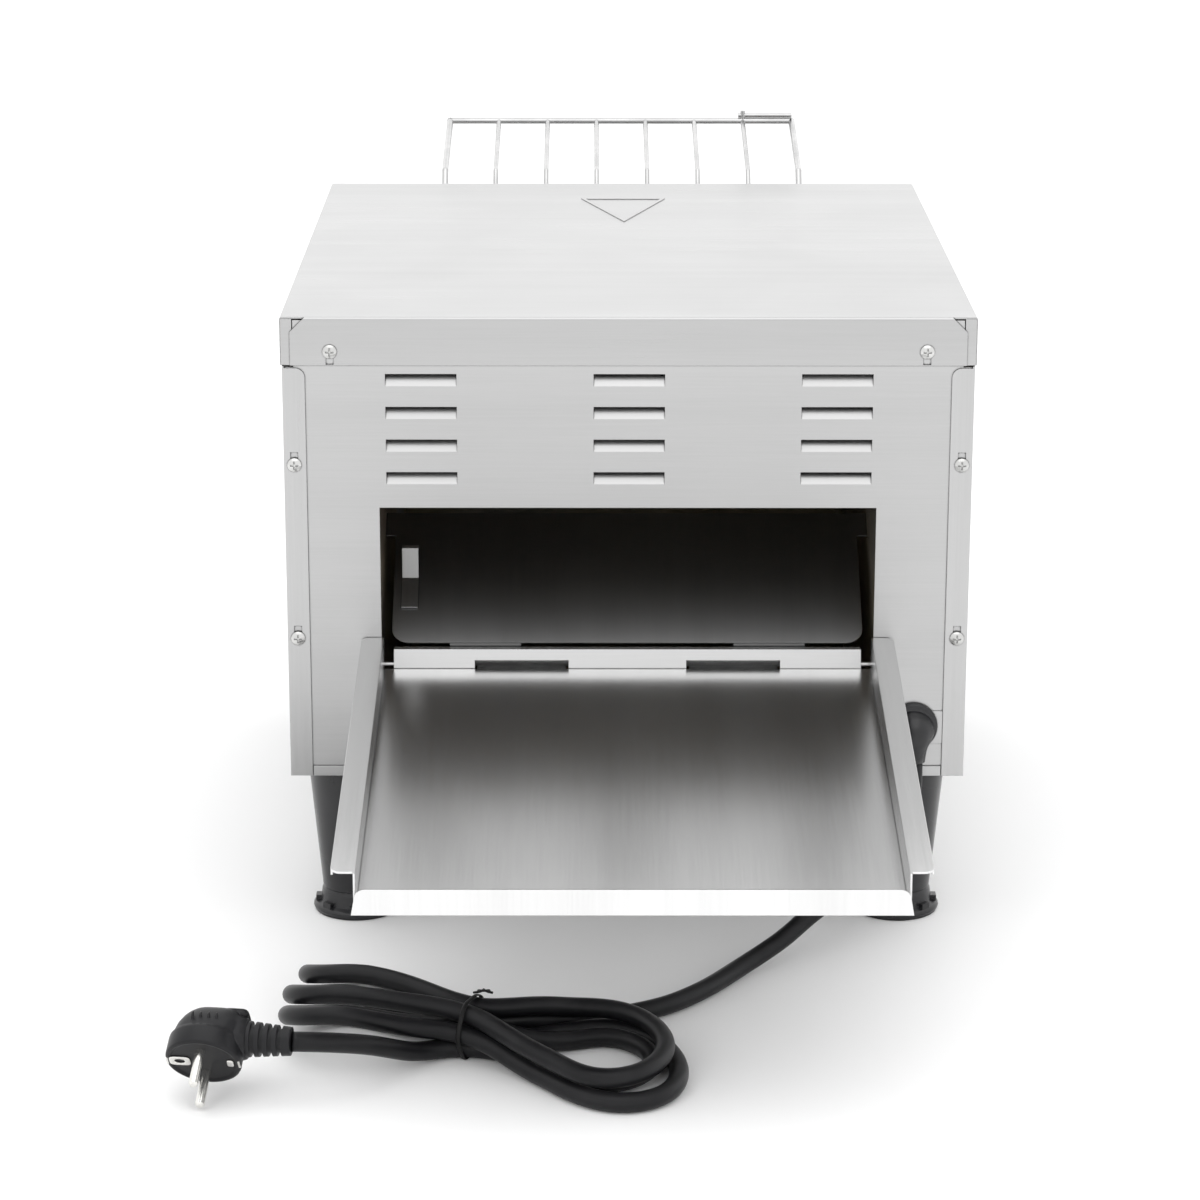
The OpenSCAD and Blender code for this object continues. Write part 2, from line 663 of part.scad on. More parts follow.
module motor_bracket() color("silver") placed() difference() {
    union() {
        box([133, chamber_half], [motor_at[0] - 34, motor_at[0] + 34], [pan_top, motor_at[1] + 36]);
        box([60, chamber_half], [motor_at[0] - 34, motor_at[0] - 33], [112, motor_at[1] + 36]);
    }
    rod_x([130, 136], motor_at, 9.2);
    box([130, 133.05], [motor_at[0] - 28, motor_at[0] + 28], [motor_at[1] - 33, motor_at[1] + 33]);
    box([125, 136], [200, 400], [pan_top - 1, 111]);
}

// ---------- heaters ----------
module heater_tube(at) rod_x([-heater_half, heater_half], at, heater_r);
module upper_heaters() color("navajowhite") placed() for (y = upper_heater_y) heater_tube([y, upper_heater_z]);
module lower_heaters() color("navajowhite") placed() for (y = lower_heater_y) heater_tube([y, shaft_z]);
module heater_end_caps() color("ivory") placed() both_sides() {
    for (y = upper_heater_y) heater_cap([y, upper_heater_z]);
    for (y = lower_heater_y) heater_cap([y, shaft_z]);
}
module heater_cap(at) {
    rod_x([heater_half, heater_half + cap_len], at, cap_r);
    rod_x([heater_half + cap_len, heater_half + cap_len + 5], at, 2);
}

// ---------- cooling fan ----------
module fan_frame() color("black") placed() translate([fan_x, fan_at[0], fan_at[1]]) rotate([90, 0, 90]) {
    linear_extrude(fan_t) difference() {
        square(fan_size, center = true);
        circle(r = fan_size / 2 - 2);
    }
    linear_extrude(4) {
        circle(r = 15);
        for (a = [45:90:315]) rotate(a) translate([10, -2]) square([30, 4]);
    }
    cylinder(h = 18, r = fan_pin_r);
}
module fan_rotor() color("dimgray") placed() translate([fan_x, fan_at[0], fan_at[1]]) rotate([90, 0, 90]) {
    difference() {
        translate([0, 0, 5]) cylinder(h = 17, r = 15);
        translate([0, 0, 4]) cylinder(h = 15, r = fan_pin_r + shaft_gap);
    }
    for (a = [0:360 / 7:359]) rotate(a) translate([14, 0, 13.5]) rotate([38, 0, 0]) translate([0, -10, -0.8])
        cube([21.5, 20, 1.6]);
}

// ---------- electrics ----------
module terminal_block() color("ivory") placed() difference() {
    box([chamber_half + sheet, chamber_half + sheet + 22], [70, 122], [106, 126]);
    for (i = [0:4]) translate([chamber_half + 14, 76 + i * 10, 118]) cylinder(h = 10, r = 2.6, $fn = 24);
    for (i = [0:4]) rod_x([150, 160], [76 + i * 10, 111], 2.2, 20);
}
module speed_controller_board() color("seagreen") placed() translate([-chamber_half - sheet, 0, 0]) {
    box([-6.6, -5], [150, 220], [110, 165]);
    for (y = [156, 214], z = [116, 159]) rod_x([-5, 0], [y, z], 3, 20);
    box([-18, -6.6], [158, 176], [120, 150]);
    box([-22, -6.6], [184, 210], [138, 154]);
    rod_x([-20, -6.6], [196, 124], 7, 24);
}
module wiring_loom() color("darkred") placed() {
    // supply wires from the gland to the terminal block
    for (i = [-1:1]) {
        wire_run([[gland_at[0] + 3 * i, 15.2, gland_at[1]], [gland_at[0] + 3 * i, 45, 131],
                  [149 + 3 * i, 80, 127.4]], 1.1);
    }
    // run over the terminal block to the controls in the front compartment
    wire_run([[148, 123.2, 116], [158, 160, 108], [160, 398, 108], [160, 398, 136]], 2.4);
}
module wire_run(p, r) {
    for (i = [0:len(p) - 2]) {
        d = p[i + 1] - p[i];
        translate(p[i]) rotate([0, acos(d[2] / norm(d)), atan2(d[1], d[0])]) cylinder(h = norm(d), r = r, $fn = 16);
        translate(p[i + 1]) sphere(r = 1.05 * r, $fn = 16);
    }
}

// ---------- controls ----------
rocker_pivot_y = far + 1.5;
rocker_pin_r = 1.5;
rocker_pin_end = 13.2;
module power_switch_body() color("black") placed() translate([switch_x, 0, control_z]) difference() {
    union() {
        box([-16, 16], [front_face, far + 2], [-13, 13]);
        box([-14, 14], [far - 24, front_face], [-11, 11]);
        for (x = [-8, 0, 8]) box([x - 0.4, x + 0.4], [far - 33, far - 24], [-3, 3]);
    }
    box([-12.3, 12.3], [far - 13, far + 3], [-10, 10]);
    rod_x([-rocker_pin_end - 0.1, rocker_pin_end + 0.1], [rocker_pivot_y - 6, 0], rocker_pin_r + shaft_gap, 24);
}
module power_switch_rocker() color("firebrick") placed() translate([switch_x, rocker_pivot_y - 6, control_z]) {
    rotate([-10, 0, 0]) wall_yz(-12, 24)
        polygon([[-3, 0], [-1, -6.5], [6, -8.2], [7, -8.2], [5, 0], [7, 8.2], [6, 8.2], [-1, 6.5]]);
    rod_x([-rocker_pin_end, rocker_pin_end], [0, 0], rocker_pin_r, 24);
}
module knob(x) translate([x, far + fit + 0.6, control_z]) rotate([-90, 0, 0]) difference() {
    union() {
        cylinder(h = 4, r1 = knob_r + 3, r2 = knob_r + 2);
        cylinder(h = knob_h, r1 = knob_r - 1, r2 = knob_r - 2.5);
        for (a = [0:20:340]) rotate(a) translate([knob_r - 2, 0, 0]) cylinder(h = knob_h - 1.5, r = 1, $fn = 16);
        translate([-1.2, -knob_r + 1, 0]) cube([2.4, knob_r - 3, knob_h + 1]);
    }
    translate([0, 0, -1]) cylinder(h = knob_h - 4, r = spindle_r + shaft_gap);
}
module speed_knob() color("black") placed() knob(speed_x);
module heat_knob() color("black") placed() knob(heat_x);
module spindle(x) {
    rod_y([far - 8, far + 11], [x, control_z], spindle_r);
    rod_y([far - 6, far - 0.4], [x, control_z], 3.5);
}
module speed_potentiometer() color("silver") placed() {
    spindle(speed_x);
    rod_y([far - 16, far - 2 * sheet], [speed_x, control_z], 8.5);
    for (x = [-5, 0, 5]) box([speed_x + x - 0.6, speed_x + x + 0.6], [far - 14, far - 13], [control_z - 15, control_z - 8]);
}
module heat_selector_switch() color("saddlebrown") placed() {
    spindle(heat_x);
    box([heat_x - 16, heat_x + 16], [far - 24, far - 2 * sheet], [control_z - 16, control_z + 16]);
    for (x = [-10, 0, 10], s = [-1, 1]) box([heat_x + x - 3, heat_x + x + 3], [far - 32, far - 24],
                                            [control_z + s * 10 - 0.4, control_z + s * 10 + 0.4]);
}
module power_lamp() color("orangered") placed() {
    rod_y([far - 20, far - sheet], [lamp_x, control_z], 6);
    translate([lamp_x, front_face, control_z]) rotate([-90, 0, 0]) rotate_extrude($fn = 32)
        polygon(concat([[0, 0], [8, 0], [8, 1.5]], arc([0, 1.5], 6.5, 0, 90, 8)));
}
module knob_dials() color("gainsboro") placed() for (x = [heat_x, speed_x]) {
    translate([x, front_face, control_z]) rotate([-90, 0, 0]) linear_extrude(0.6) difference() {
        circle(r = 30);
        circle(r = 5);
        for (a = [-135:27:135]) rotate(a - 90) translate([23.5, -0.4]) square([4.5, 0.8]);
    }
}

// ---------- mains lead ----------
module cord_gland() color("black") placed() {
    intersection() {
        translate([gland_at[0], 0, gland_at[1]]) sphere(r = 13.6, $fn = 64);
        box([130, 180], [-16, 0.4], [101, 140]);
    }
    translate(cord_exit) cylinder(h = 14, r1 = 6.4, r2 = 7.3, $fn = 48);
    rod_y([0.4, 14], gland_at, 8);
}
module gland_nut() color("black") placed() translate([gland_at[0], 7, gland_at[1]]) rotate([90, 0, 0]) difference() {
    cylinder(h = 5, r = 12, $fn = 6);
    translate([0, 0, -1]) cylinder(h = 7, r = 8.05);
}
module entry_plate() color("silver") placed() difference() {
    box([138, flange_x], [0.4, sheet], [107, 125.5]);
    rod_y([-1, 3], gland_at, 8.2);
}
module power_cord() color("black") placed() tube(lead_route, [1, -1, 0.2], cord_d / 2);
module cord_tail() color("black") placed() tube(tail_route, [0, 0, 1], cord_d / 2);
module hank_outline() {
    tangent_loop(left_lobe, left_lobe_r, tie_at, waist_r);
    tangent_loop(tie_at, waist_r, right_lobe, right_lobe_r);
}
module cord_hank() color("black") placed()
    translate([0, 0, hank_low]) linear_extrude(hank_top - hank_low) hank_outline();
module cord_tie() color("black") placed() {
    run = right_lobe - left_lobe;
    difference() {
        translate([tie_at[0], tie_at[1], 0]) rotate(atan2(run[1], run[0]))
            box([-1.5, 1.5], [-tie_half, tie_half], [0.3, hank_top + 1.2]);
        translate([0, 0, hank_low - 0.3]) linear_extrude(hank_top - hank_low + 0.6) offset(r = 0.3) hank_outline();
    }
}
module at_plug() translate(plug_face) rotate(plug_turn) children();
module plug_body() color("black") placed() at_plug() difference() {
    union() {
        translate([0, 0, -17]) cylinder(h = 17, r = plug_r);
        translate([0, 0, -27]) cylinder(h = 10, r1 = plug_r - 5, r2 = plug_r);
        translate([0, 0, -24]) linear_extrude(18) polygon([[0, -16], [relief_start, -9], [relief_start, 9], [0, 16]]);
    }
    for (s = [-1, 1]) translate([0, s * pin_gap / 2, -9]) cylinder(h = 10, r = pin_r + 0.02, $fn = 32);
    for (s = [-1, 1]) translate([s * 18.5 - 1.5, -3, -12]) cube([3, 6, 13]);
    translate([0, 0, -8]) translate([-11, 0, 0]) cylinder(h = 9, r = 2.5, $fn = 32);
}
module plug_pins() color("silver") placed() at_plug() {
    for (s = [-1, 1]) translate([0, s * pin_gap / 2, -9]) {
        cylinder(h = pin_len + 8, r = pin_r, $fn = 32);
        translate([0, 0, pin_len + 8]) cylinder(h = 1, r1 = pin_r, r2 = pin_r - 0.8, $fn = 32);
    }
    for (s = [-1, 1]) translate([s * 18 - 0.5, -2.8, -11.9]) cube([1, 5.6, 12]);
}
module plug_strain_relief() color("black") placed() at_plug() translate([relief_start, 0, -relief_back]) rotate([0, 90, 0]) {
    rotate_extrude($fn = 32) polygon([
        [0, 0], [8.5, 0], [8.5, 2.5], [6.8, 2.5], [6.8, 4.5], [7.8, 4.5], [7.8, 7], [6.5, 7], [6.5, 9],
        [7.4, 9], [7.4, 11.5], [6.3, 11.5], [6.3, 13.5], [7, 13.5], [7, 16], [6, 16], [6, 18],
        [6.6, 18], [6.6, relief_end - relief_start], [0, relief_end - relief_start]
    ]);
}

// ---------- fasteners ----------
module on_both_ends() {
    children();
    translate([0, far, 0]) mirror([0, 1, 0]) children();
}
module cover_screws() color("silver") placed() on_both_ends() both_sides()
    translate([cover_screw_x, 0, cover_screw_z]) pan_screw(8);
module side_screws() color("silver") placed() on_both_ends() both_sides()
    for (z = screw_z) translate([side_screw_x, 0, z]) pan_screw(8);

base_pan();
rear_panel();
left_side_panel();
right_side_panel();
front_panel();
top_cover();
left_chamber_wall();
right_chamber_wall();
heat_reflector();
heat_shield();
discharge_sill();
chute();
chute_clip();
discharge_tray();
crumb_tray();
loading_rack();
rack_support_rod();
legs();
foot_pad_1();
foot_pad_2();
foot_pad_3();
foot_pad_4();
conveyor_belt();
belt_slides();
drive_shaft();
idler_shaft();
shaft_bearings();
driven_sprocket();
gear_motor();
motor_bracket();
motor_sprocket();
drive_chain();
upper_heaters();
lower_heaters();
heater_end_caps();
fan_frame();
fan_rotor();
terminal_block();
speed_controller_board();
wiring_loom();
power_switch_body();
power_switch_rocker();
speed_knob();
speed_potentiometer();
heat_knob();
heat_selector_switch();
power_lamp();
knob_dials();
cord_gland();
gland_nut();
entry_plate();
power_cord();
cord_hank();
cord_tail();
plug_body();
plug_pins();
plug_strain_relief();
cord_tie();
cover_screws();
side_screws();
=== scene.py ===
"""Looks of a countertop conveyor toaster: steel sheet casing, wire belt, moulded feet and a tied mains lead.

Metres, +Z up, the discharge side faces -Y. Route points are millimetres from the discharge face of the cover.
"""
import math
import bpy
import numpy as np
from mathutils import Matrix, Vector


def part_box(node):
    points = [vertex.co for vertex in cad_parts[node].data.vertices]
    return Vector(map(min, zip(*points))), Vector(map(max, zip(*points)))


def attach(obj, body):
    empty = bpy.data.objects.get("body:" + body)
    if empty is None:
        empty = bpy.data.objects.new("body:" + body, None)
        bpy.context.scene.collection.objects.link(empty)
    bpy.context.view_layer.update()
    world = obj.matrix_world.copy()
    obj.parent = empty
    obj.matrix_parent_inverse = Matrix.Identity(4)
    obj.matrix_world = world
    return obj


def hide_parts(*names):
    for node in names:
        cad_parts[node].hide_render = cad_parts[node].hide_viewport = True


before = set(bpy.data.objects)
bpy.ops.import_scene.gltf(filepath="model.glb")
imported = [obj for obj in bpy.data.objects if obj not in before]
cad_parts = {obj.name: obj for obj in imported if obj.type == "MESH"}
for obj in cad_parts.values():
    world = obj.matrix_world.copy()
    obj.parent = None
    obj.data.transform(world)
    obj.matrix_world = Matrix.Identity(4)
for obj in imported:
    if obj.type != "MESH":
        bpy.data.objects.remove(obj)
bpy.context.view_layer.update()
FACE_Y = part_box("top_cover")[0].y
MM = 0.001


def placed(points):
    """Millimetre points from the discharge face, as metres in the object's frame."""
    return np.asarray(points, float) * MM + np.array([0.0, FACE_Y, 0.0])


# ---------- camera ----------
def make_camera():
    """A camera low in front of the discharge side, a little left of the middle, pitched gently down."""
    data = bpy.data.cameras.new("camera")
    data.sensor_width = 36.0
    data.lens = 110.99
    data.clip_end = 20.0
    camera = bpy.data.objects.new("camera", data)
    bpy.context.scene.collection.objects.link(camera)
    pitch, yaw, roll = (math.radians(a) for a in (16.15, -0.15, 0.07))
    turn = Matrix.Rotation(yaw, 4, "Z")
    turn = turn @ Matrix.Rotation(math.pi / 2 - pitch, 4, "X") @ Matrix.Rotation(roll, 4, "Z")
    camera.matrix_world = Matrix.Translation(placed([-20.0, -1919.9, 744.6])) @ turn
    bpy.context.scene.camera = camera


make_camera()


# ---------- mesh helpers ----------
def mesh_object(name, verts, faces, uv=None):
    """A mesh at the origin from vertex and face arrays; uv, where given, is one pair per vertex."""
    mesh = bpy.data.meshes.new(name)
    mesh.from_pydata(np.asarray(verts).tolist(), [], [tuple(f) for f in faces])
    mesh.polygons.foreach_set("use_smooth", [True] * len(mesh.polygons))
    if uv is not None:
        layer = mesh.uv_layers.new(name="along")
        corner = np.empty(len(mesh.loops), int)
        mesh.loops.foreach_get("vertex_index", corner)
        layer.data.foreach_set("uv", np.asarray(uv, float)[corner].ravel())
    mesh.update()
    piece = bpy.data.objects.new(name, mesh)
    bpy.context.scene.collection.objects.link(piece)
    return piece


def grid_faces(rows, cols):
    """Quads over a grid of rows by cols whose columns close on themselves."""
    i, j = np.meshgrid(np.arange(rows - 1), np.arange(cols), indexing="ij")
    k = (j + 1) % cols
    quads = np.stack([i * cols + j, i * cols + k, (i + 1) * cols + k, (i + 1) * cols + j], -1)
    return quads.reshape(-1, 4).tolist()


def lofted(grid):
    """Vertices and faces of a closed skin over rings: quads between rings and a fan at each end.

    grid is (rings, points, 3). Each end is closed on the middle of its ring. The winding is set so that
    the enclosed volume is positive, which makes the faces point outwards.
    """
    rings, cols, _ = grid.shape
    verts = np.concatenate([grid.reshape(-1, 3), grid[:1].mean(1), grid[-1:].mean(1)])
    first, last = rings * cols, rings * cols + 1
    base = (rings - 1) * cols
    faces = grid_faces(rings, cols)
    faces += [(first, (j + 1) % cols, j) for j in range(cols)]
    faces += [(last, base + j, base + (j + 1) % cols) for j in range(cols)]
    middle = verts.mean(0)
    tri = np.array([f[:3] for f in faces])
    a, b, c = (verts[tri[:, n]] - middle for n in range(3))
    if np.einsum("ij,ij->i", a, np.cross(b, c)).sum() < 0:
        faces = [f[::-1] for f in faces]
    return verts, [tuple(f) for f in faces]


def joined(skins):
    """Several (vertices, faces) skins as one pair."""
    verts, faces, count = [], [], 0
    for v, f in skins:
        verts.append(v)
        faces += [tuple(n + count for n in face) for face in f]
        count += len(v)
    return np.concatenate(verts), faces


def frames_along(path):
    """Two directions square to the path at each point, carried along it with the least twist."""
    ahead, behind = np.roll(path, -1, 0), np.roll(path, 1, 0)
    ahead[-1], behind[0] = path[-1], path[0]
    tangent = ahead - behind
    tangent /= np.linalg.norm(tangent, axis=1)[:, None]
    side = np.empty_like(path)
    guess = np.array([0.0, 0.0, 1.0]) if abs(tangent[0, 2]) < 0.9 else np.array([1.0, 0.0, 0.0])
    current = np.cross(tangent[0], guess)
    for n, t in enumerate(tangent):
        current = current - t * np.dot(current, t)
        current /= np.linalg.norm(current)
        side[n] = current
    return side, np.cross(tangent, side)


def tube_rings(path, radius, sides):
    """Rings round a path: point + radius * (cos a * side + sin a * other)."""
    side, other = frames_along(path)
    a = np.linspace(0, 2 * np.pi, sides, endpoint=False)
    r = np.broadcast_to(np.asarray(radius, float), (len(path),))[:, None, None]
    ring = np.cos(a)[None, :, None] * side[:, None] + np.sin(a)[None, :, None] * other[:, None]
    return path[:, None] + r * ring


def smooth_line(points, step):
    """A natural cubic spline through the points, cut to equal steps.

    The parameter grows with the square root of the distance between points, which keeps the curve from
    overshooting where points lie close together.
    """
    p = np.asarray(points, float)
    t = np.concatenate([[0], np.cumsum(np.linalg.norm(np.diff(p, axis=0), axis=1) ** 0.5)])
    n, h = len(p), np.diff(t)
    matrix, right = np.eye(n), np.zeros((n, 3))
    for i in range(1, n - 1):
        matrix[i, i - 1:i + 2] = h[i - 1], 2 * (h[i - 1] + h[i]), h[i]
        right[i] = 6 * ((p[i + 1] - p[i]) / h[i] - (p[i] - p[i - 1]) / h[i - 1])
    bend = np.linalg.solve(matrix, right)
    u = np.linspace(0, t[-1], 40 * n)
    k = np.clip(np.searchsorted(t, u, side="right") - 1, 0, n - 2)
    a, b, w = (t[k + 1] - u)[:, None], (u - t[k])[:, None], h[k][:, None]
    line = bend[k] * a**3 / (6 * w) + bend[k + 1] * b**3 / (6 * w)
    line += (p[k] / w - bend[k] * w / 6) * a + (p[k + 1] / w - bend[k + 1] * w / 6) * b
    s = np.concatenate([[0], np.cumsum(np.linalg.norm(np.diff(line, axis=0), axis=1))])
    at = np.linspace(0, s[-1], int(s[-1] / step))
    return np.stack([np.interp(at, s, line[:, axis]) for axis in range(3)], 1)


# ---------- mains lead ----------
CORD_D = 10.0
CORD_SIDES = 20
LEAD_ROUTE = [
    [156, -7, 99], [156, -8, 88], [154.5, -11, 77], [150, -16, 66], [143, -22, 56], [134, -28, 47.5],
    [123, -34, 40], [111, -40, 32], [99, -45, 24.5], [88, -52, 17], [77, -60, 11.5], [66, -69, 7.5],
    [55, -82, 5.5], [44, -98, 5], [33, -112, 5], [20, -125, 5], [6, -134, 5], [-10, -142, 5],
    [-20, -147, 5.5], [-37, -156, 8], [-56, -164.5, 12],
]
TAIL_ROUTE = [
    [-106, -191, 7], [-119, -203, 13.5], [-131, -213.5, 20],
    [-143, -223, 25], [-155, -230, 28.5], [-167, -233, 30],
]
TIE_AT = np.array([-80.0, -177.0])
TIE_RUN = np.array([0.914, -0.405])
TIE_ACROSS = np.array([0.405, 0.914])
# The seven strands under the tie, packed as one in the middle and six round it: across, up
STRANDS = [(-5.2, 5.3), (5.2, 5.3), (-10.4, 14.2), (0, 14.2), (10.4, 14.2), (-5.2, 23.2), (5.2, 23.2)]
BEND_R = 29.0
TIE_THICK, TIE_WIDE = 0.7, 2.6
LEAN = math.radians(22)


def strand(n):
    """The point at which strand n passes under the tie."""
    across, up = STRANDS[n - 1]
    return [[*(TIE_AT + TIE_ACROSS * across), up]]


def left_turn(x, y):
    """A half circle leaning towards -Y, from its far side on the floor to its raised near side.

    The point at angle a is the middle plus BEND_R times (-cos a, sin a * cos LEAN, -sin a * sin LEAN).
    """
    a = np.radians(np.arange(90, -91, -30))
    middle = np.array([x + BEND_R, y, 16.2])
    half = np.stack([-np.cos(a), np.sin(a) * math.cos(LEAN), -np.sin(a) * math.sin(LEAN)], 1)
    return (middle + BEND_R * half).tolist()


def hank_line():
    """The whole lead from the gland to the plug: three turns each side of the tie, then the tail."""
    top_turn = [
        [-52, -166, 20.5], [-33, -157, 17], [-10, -157, 15.8], [8, -172, 15.6],
        [17, -197, 15.6], [14, -222, 15.6], [0, -241, 15.6], [-19, -243, 15.6],
        [-38, -226, 16.5], [-56, -208, 19],
    ]
    outer_turn = [
        [-40, -165, 5.1], [-14, -156, 5.1], [8, -167, 5.1], [20.5, -189, 5.1],
        [24, -216, 5.1], [15, -241.5, 5.1], [-5, -250, 5.1], [-25, -240.5, 5.1],
        [-42, -221, 5.3], [-58, -202.5, 7.5],
    ]
    inner_turn = [
        [-52, -178, 8.5], [-34, -171, 5.1], [-12, -168, 5.1], [5, -180, 5.1], [11, -199, 5.1], [4, -217, 5.1],
        [-13, -226, 5.1], [-32, -217, 5.1], [-50, -199, 5.1],
    ]
    route = list(LEAD_ROUTE) + strand(5)
    route += [[-108, -126, 9.5]] + left_turn(-168.2, -110) + [[-110, -151, 25.5]]
    route += strand(7) + top_turn + strand(6)
    route += [[-112, -172, 25.5]] + left_turn(-174.3, -138)[::-1] + [[-112, -142, 5.4]]
    route += strand(2) + outer_turn + strand(3)
    route += [[-112, -190, 20]] + left_turn(-174.3, -166)[::-1] + [[-112, -158, 8]]
    route += strand(4) + inner_turn + strand(1)
    return smooth_line(route + TAIL_ROUTE, 2.0)


def settled(line):
    """The line with touching strands eased a diameter apart, kept smooth and on the floor.

    Each round pushes every pair of points that lie closer than a diameter apart along their difference,
    and takes away a little of the line's fourth difference, which is its unevenness.
    """
    rounds, neighbours = 260, 15
    held_at_gland, held_at_plug = 22, 4
    clear = CORD_D * 1.015
    order = np.arange(len(line))
    apart = np.abs(order[:, None] - order[None]) > neighbours
    free = np.ones((len(line), 1))
    free[:held_at_gland] = 0
    free[-held_at_plug:] = 0
    for _ in range(rounds):
        gap = line[:, None] - line[None]
        far = np.linalg.norm(gap, axis=2) + 1e-9
        push = np.where(apart & (far < clear), (clear - far) / far * 0.25, 0)
        force = (push[..., None] * gap).sum(1)
        force[2:-2] -= 0.06 * (line[:-4] - 4 * line[1:-3] + 6 * line[2:-2] - 4 * line[3:-1] + line[4:])
        line = line + force * free
        line[:, 2] = np.maximum(line[:, 2], CORD_D / 2 + 0.02)
    return line


def make_lead():
    """The lead as one round tube of rings along its settled line."""
    line = placed(settled(hank_line()))
    rings = tube_rings(line, CORD_D * MM / 2, CORD_SIDES)
    verts, faces = lofted(rings)
    run = np.concatenate([[0], np.cumsum(np.linalg.norm(np.diff(line, axis=0), axis=1))])
    around = np.linspace(0, 1, CORD_SIDES, endpoint=False)
    uv = np.stack(np.broadcast_arrays(around[None] * math.pi * CORD_D * MM, run[:, None]), -1).reshape(-1, 2)
    uv = np.concatenate([uv, [[0, 0], [0, run[-1]]]])
    piece = mesh_object("mains_lead", verts, faces, uv=uv)
    return piece, line, float(run[-1])


def make_tie():
    """A flat wire tie: a band round the seven strands, and two twisted ends that stand up from it."""
    a = np.linspace(0, 2 * np.pi, 72, endpoint=False)
    # a rounded six-sided outline a little outside the strands
    reach = 16.3 + 0.5 * np.cos(6 * a)
    across, up = reach * np.cos(a), np.maximum(14.2 + reach * np.sin(a), 0.25)
    centre = np.stack([TIE_AT[0] + TIE_ACROSS[0] * across, TIE_AT[1] + TIE_ACROSS[1] * across, up], 1)
    out = np.stack([TIE_ACROSS[0] * np.cos(a), TIE_ACROSS[1] * np.cos(a), np.sin(a)], 1)
    run = np.array([*TIE_RUN, 0.0])
    section = 10
    b = np.linspace(0, 2 * np.pi, section, endpoint=False)
    thick = TIE_THICK / 2 * np.cos(b)[None, :, None] * out[:, None]
    wide = TIE_WIDE / 2 * np.sin(b)[None, :, None] * run
    band = centre[:, None] + thick + wide
    band[..., 2] = np.maximum(band[..., 2], 0.05)
    # the row after the last is the first again, so the band is closed
    faces = [tuple(v % (len(a) * section) for v in f) for f in grid_faces(len(a) + 1, section)]
    skins = [(placed(band.reshape(-1, 3)), faces)]
    top = np.array([*(TIE_AT + TIE_ACROSS * 4), 30.6])
    for phase in (0, math.pi):
        t = np.linspace(0, 1, 40)
        turn = phase + t * 9.0
        line = top + np.stack([
            run[0] * 9 * t + 0.8 * np.cos(turn), run[1] * 9 * t + 0.8 * np.sin(turn),
            1.0 + 2.2 * np.sin(2.4 * t)
        ], 1)
        skins.append(lofted(tube_rings(placed(line), 0.65 * MM, 8)))
    return mesh_object("wire_tie", *joined(skins))


# ---------- plug ----------
PLUG_FACE = [-210, -239.5, 21.6]
PLUG_TURN = (125, 0, -8)
PLUG_SIDES = 64
RELIEF = (20.0, 42.0)
RELIEF_BACK = 15.0


def plug_place(points):
    """Plug coordinates (pins along +Z, lead along +X, millimetres) to metres in the object's frame."""
    x, y, z = (math.radians(a) for a in PLUG_TURN)
    turn = Matrix.Rotation(z, 3, "Z") @ Matrix.Rotation(y, 3, "Y") @ Matrix.Rotation(x, 3, "X")
    return placed(np.asarray(points) @ np.array(turn).T + np.array(PLUG_FACE))


def rounded_outline(half_x, half_y, power):
    """A superellipse: each coordinate is its half width times |cos| or |sin| to the power 2/n, signed."""
    a = np.linspace(0, 2 * np.pi, PLUG_SIDES, endpoint=False)
    c, s = np.cos(a), np.sin(a)
    x = half_x * np.sign(c) * np.abs(c) ** (2 / power)
    y = half_y * np.sign(s) * np.abs(s) ** (2 / power)
    return np.stack([x, y], 1)


def level(outline, z):
    """The outline's points, all at height z."""
    return np.column_stack([outline, np.full(len(outline), z)])


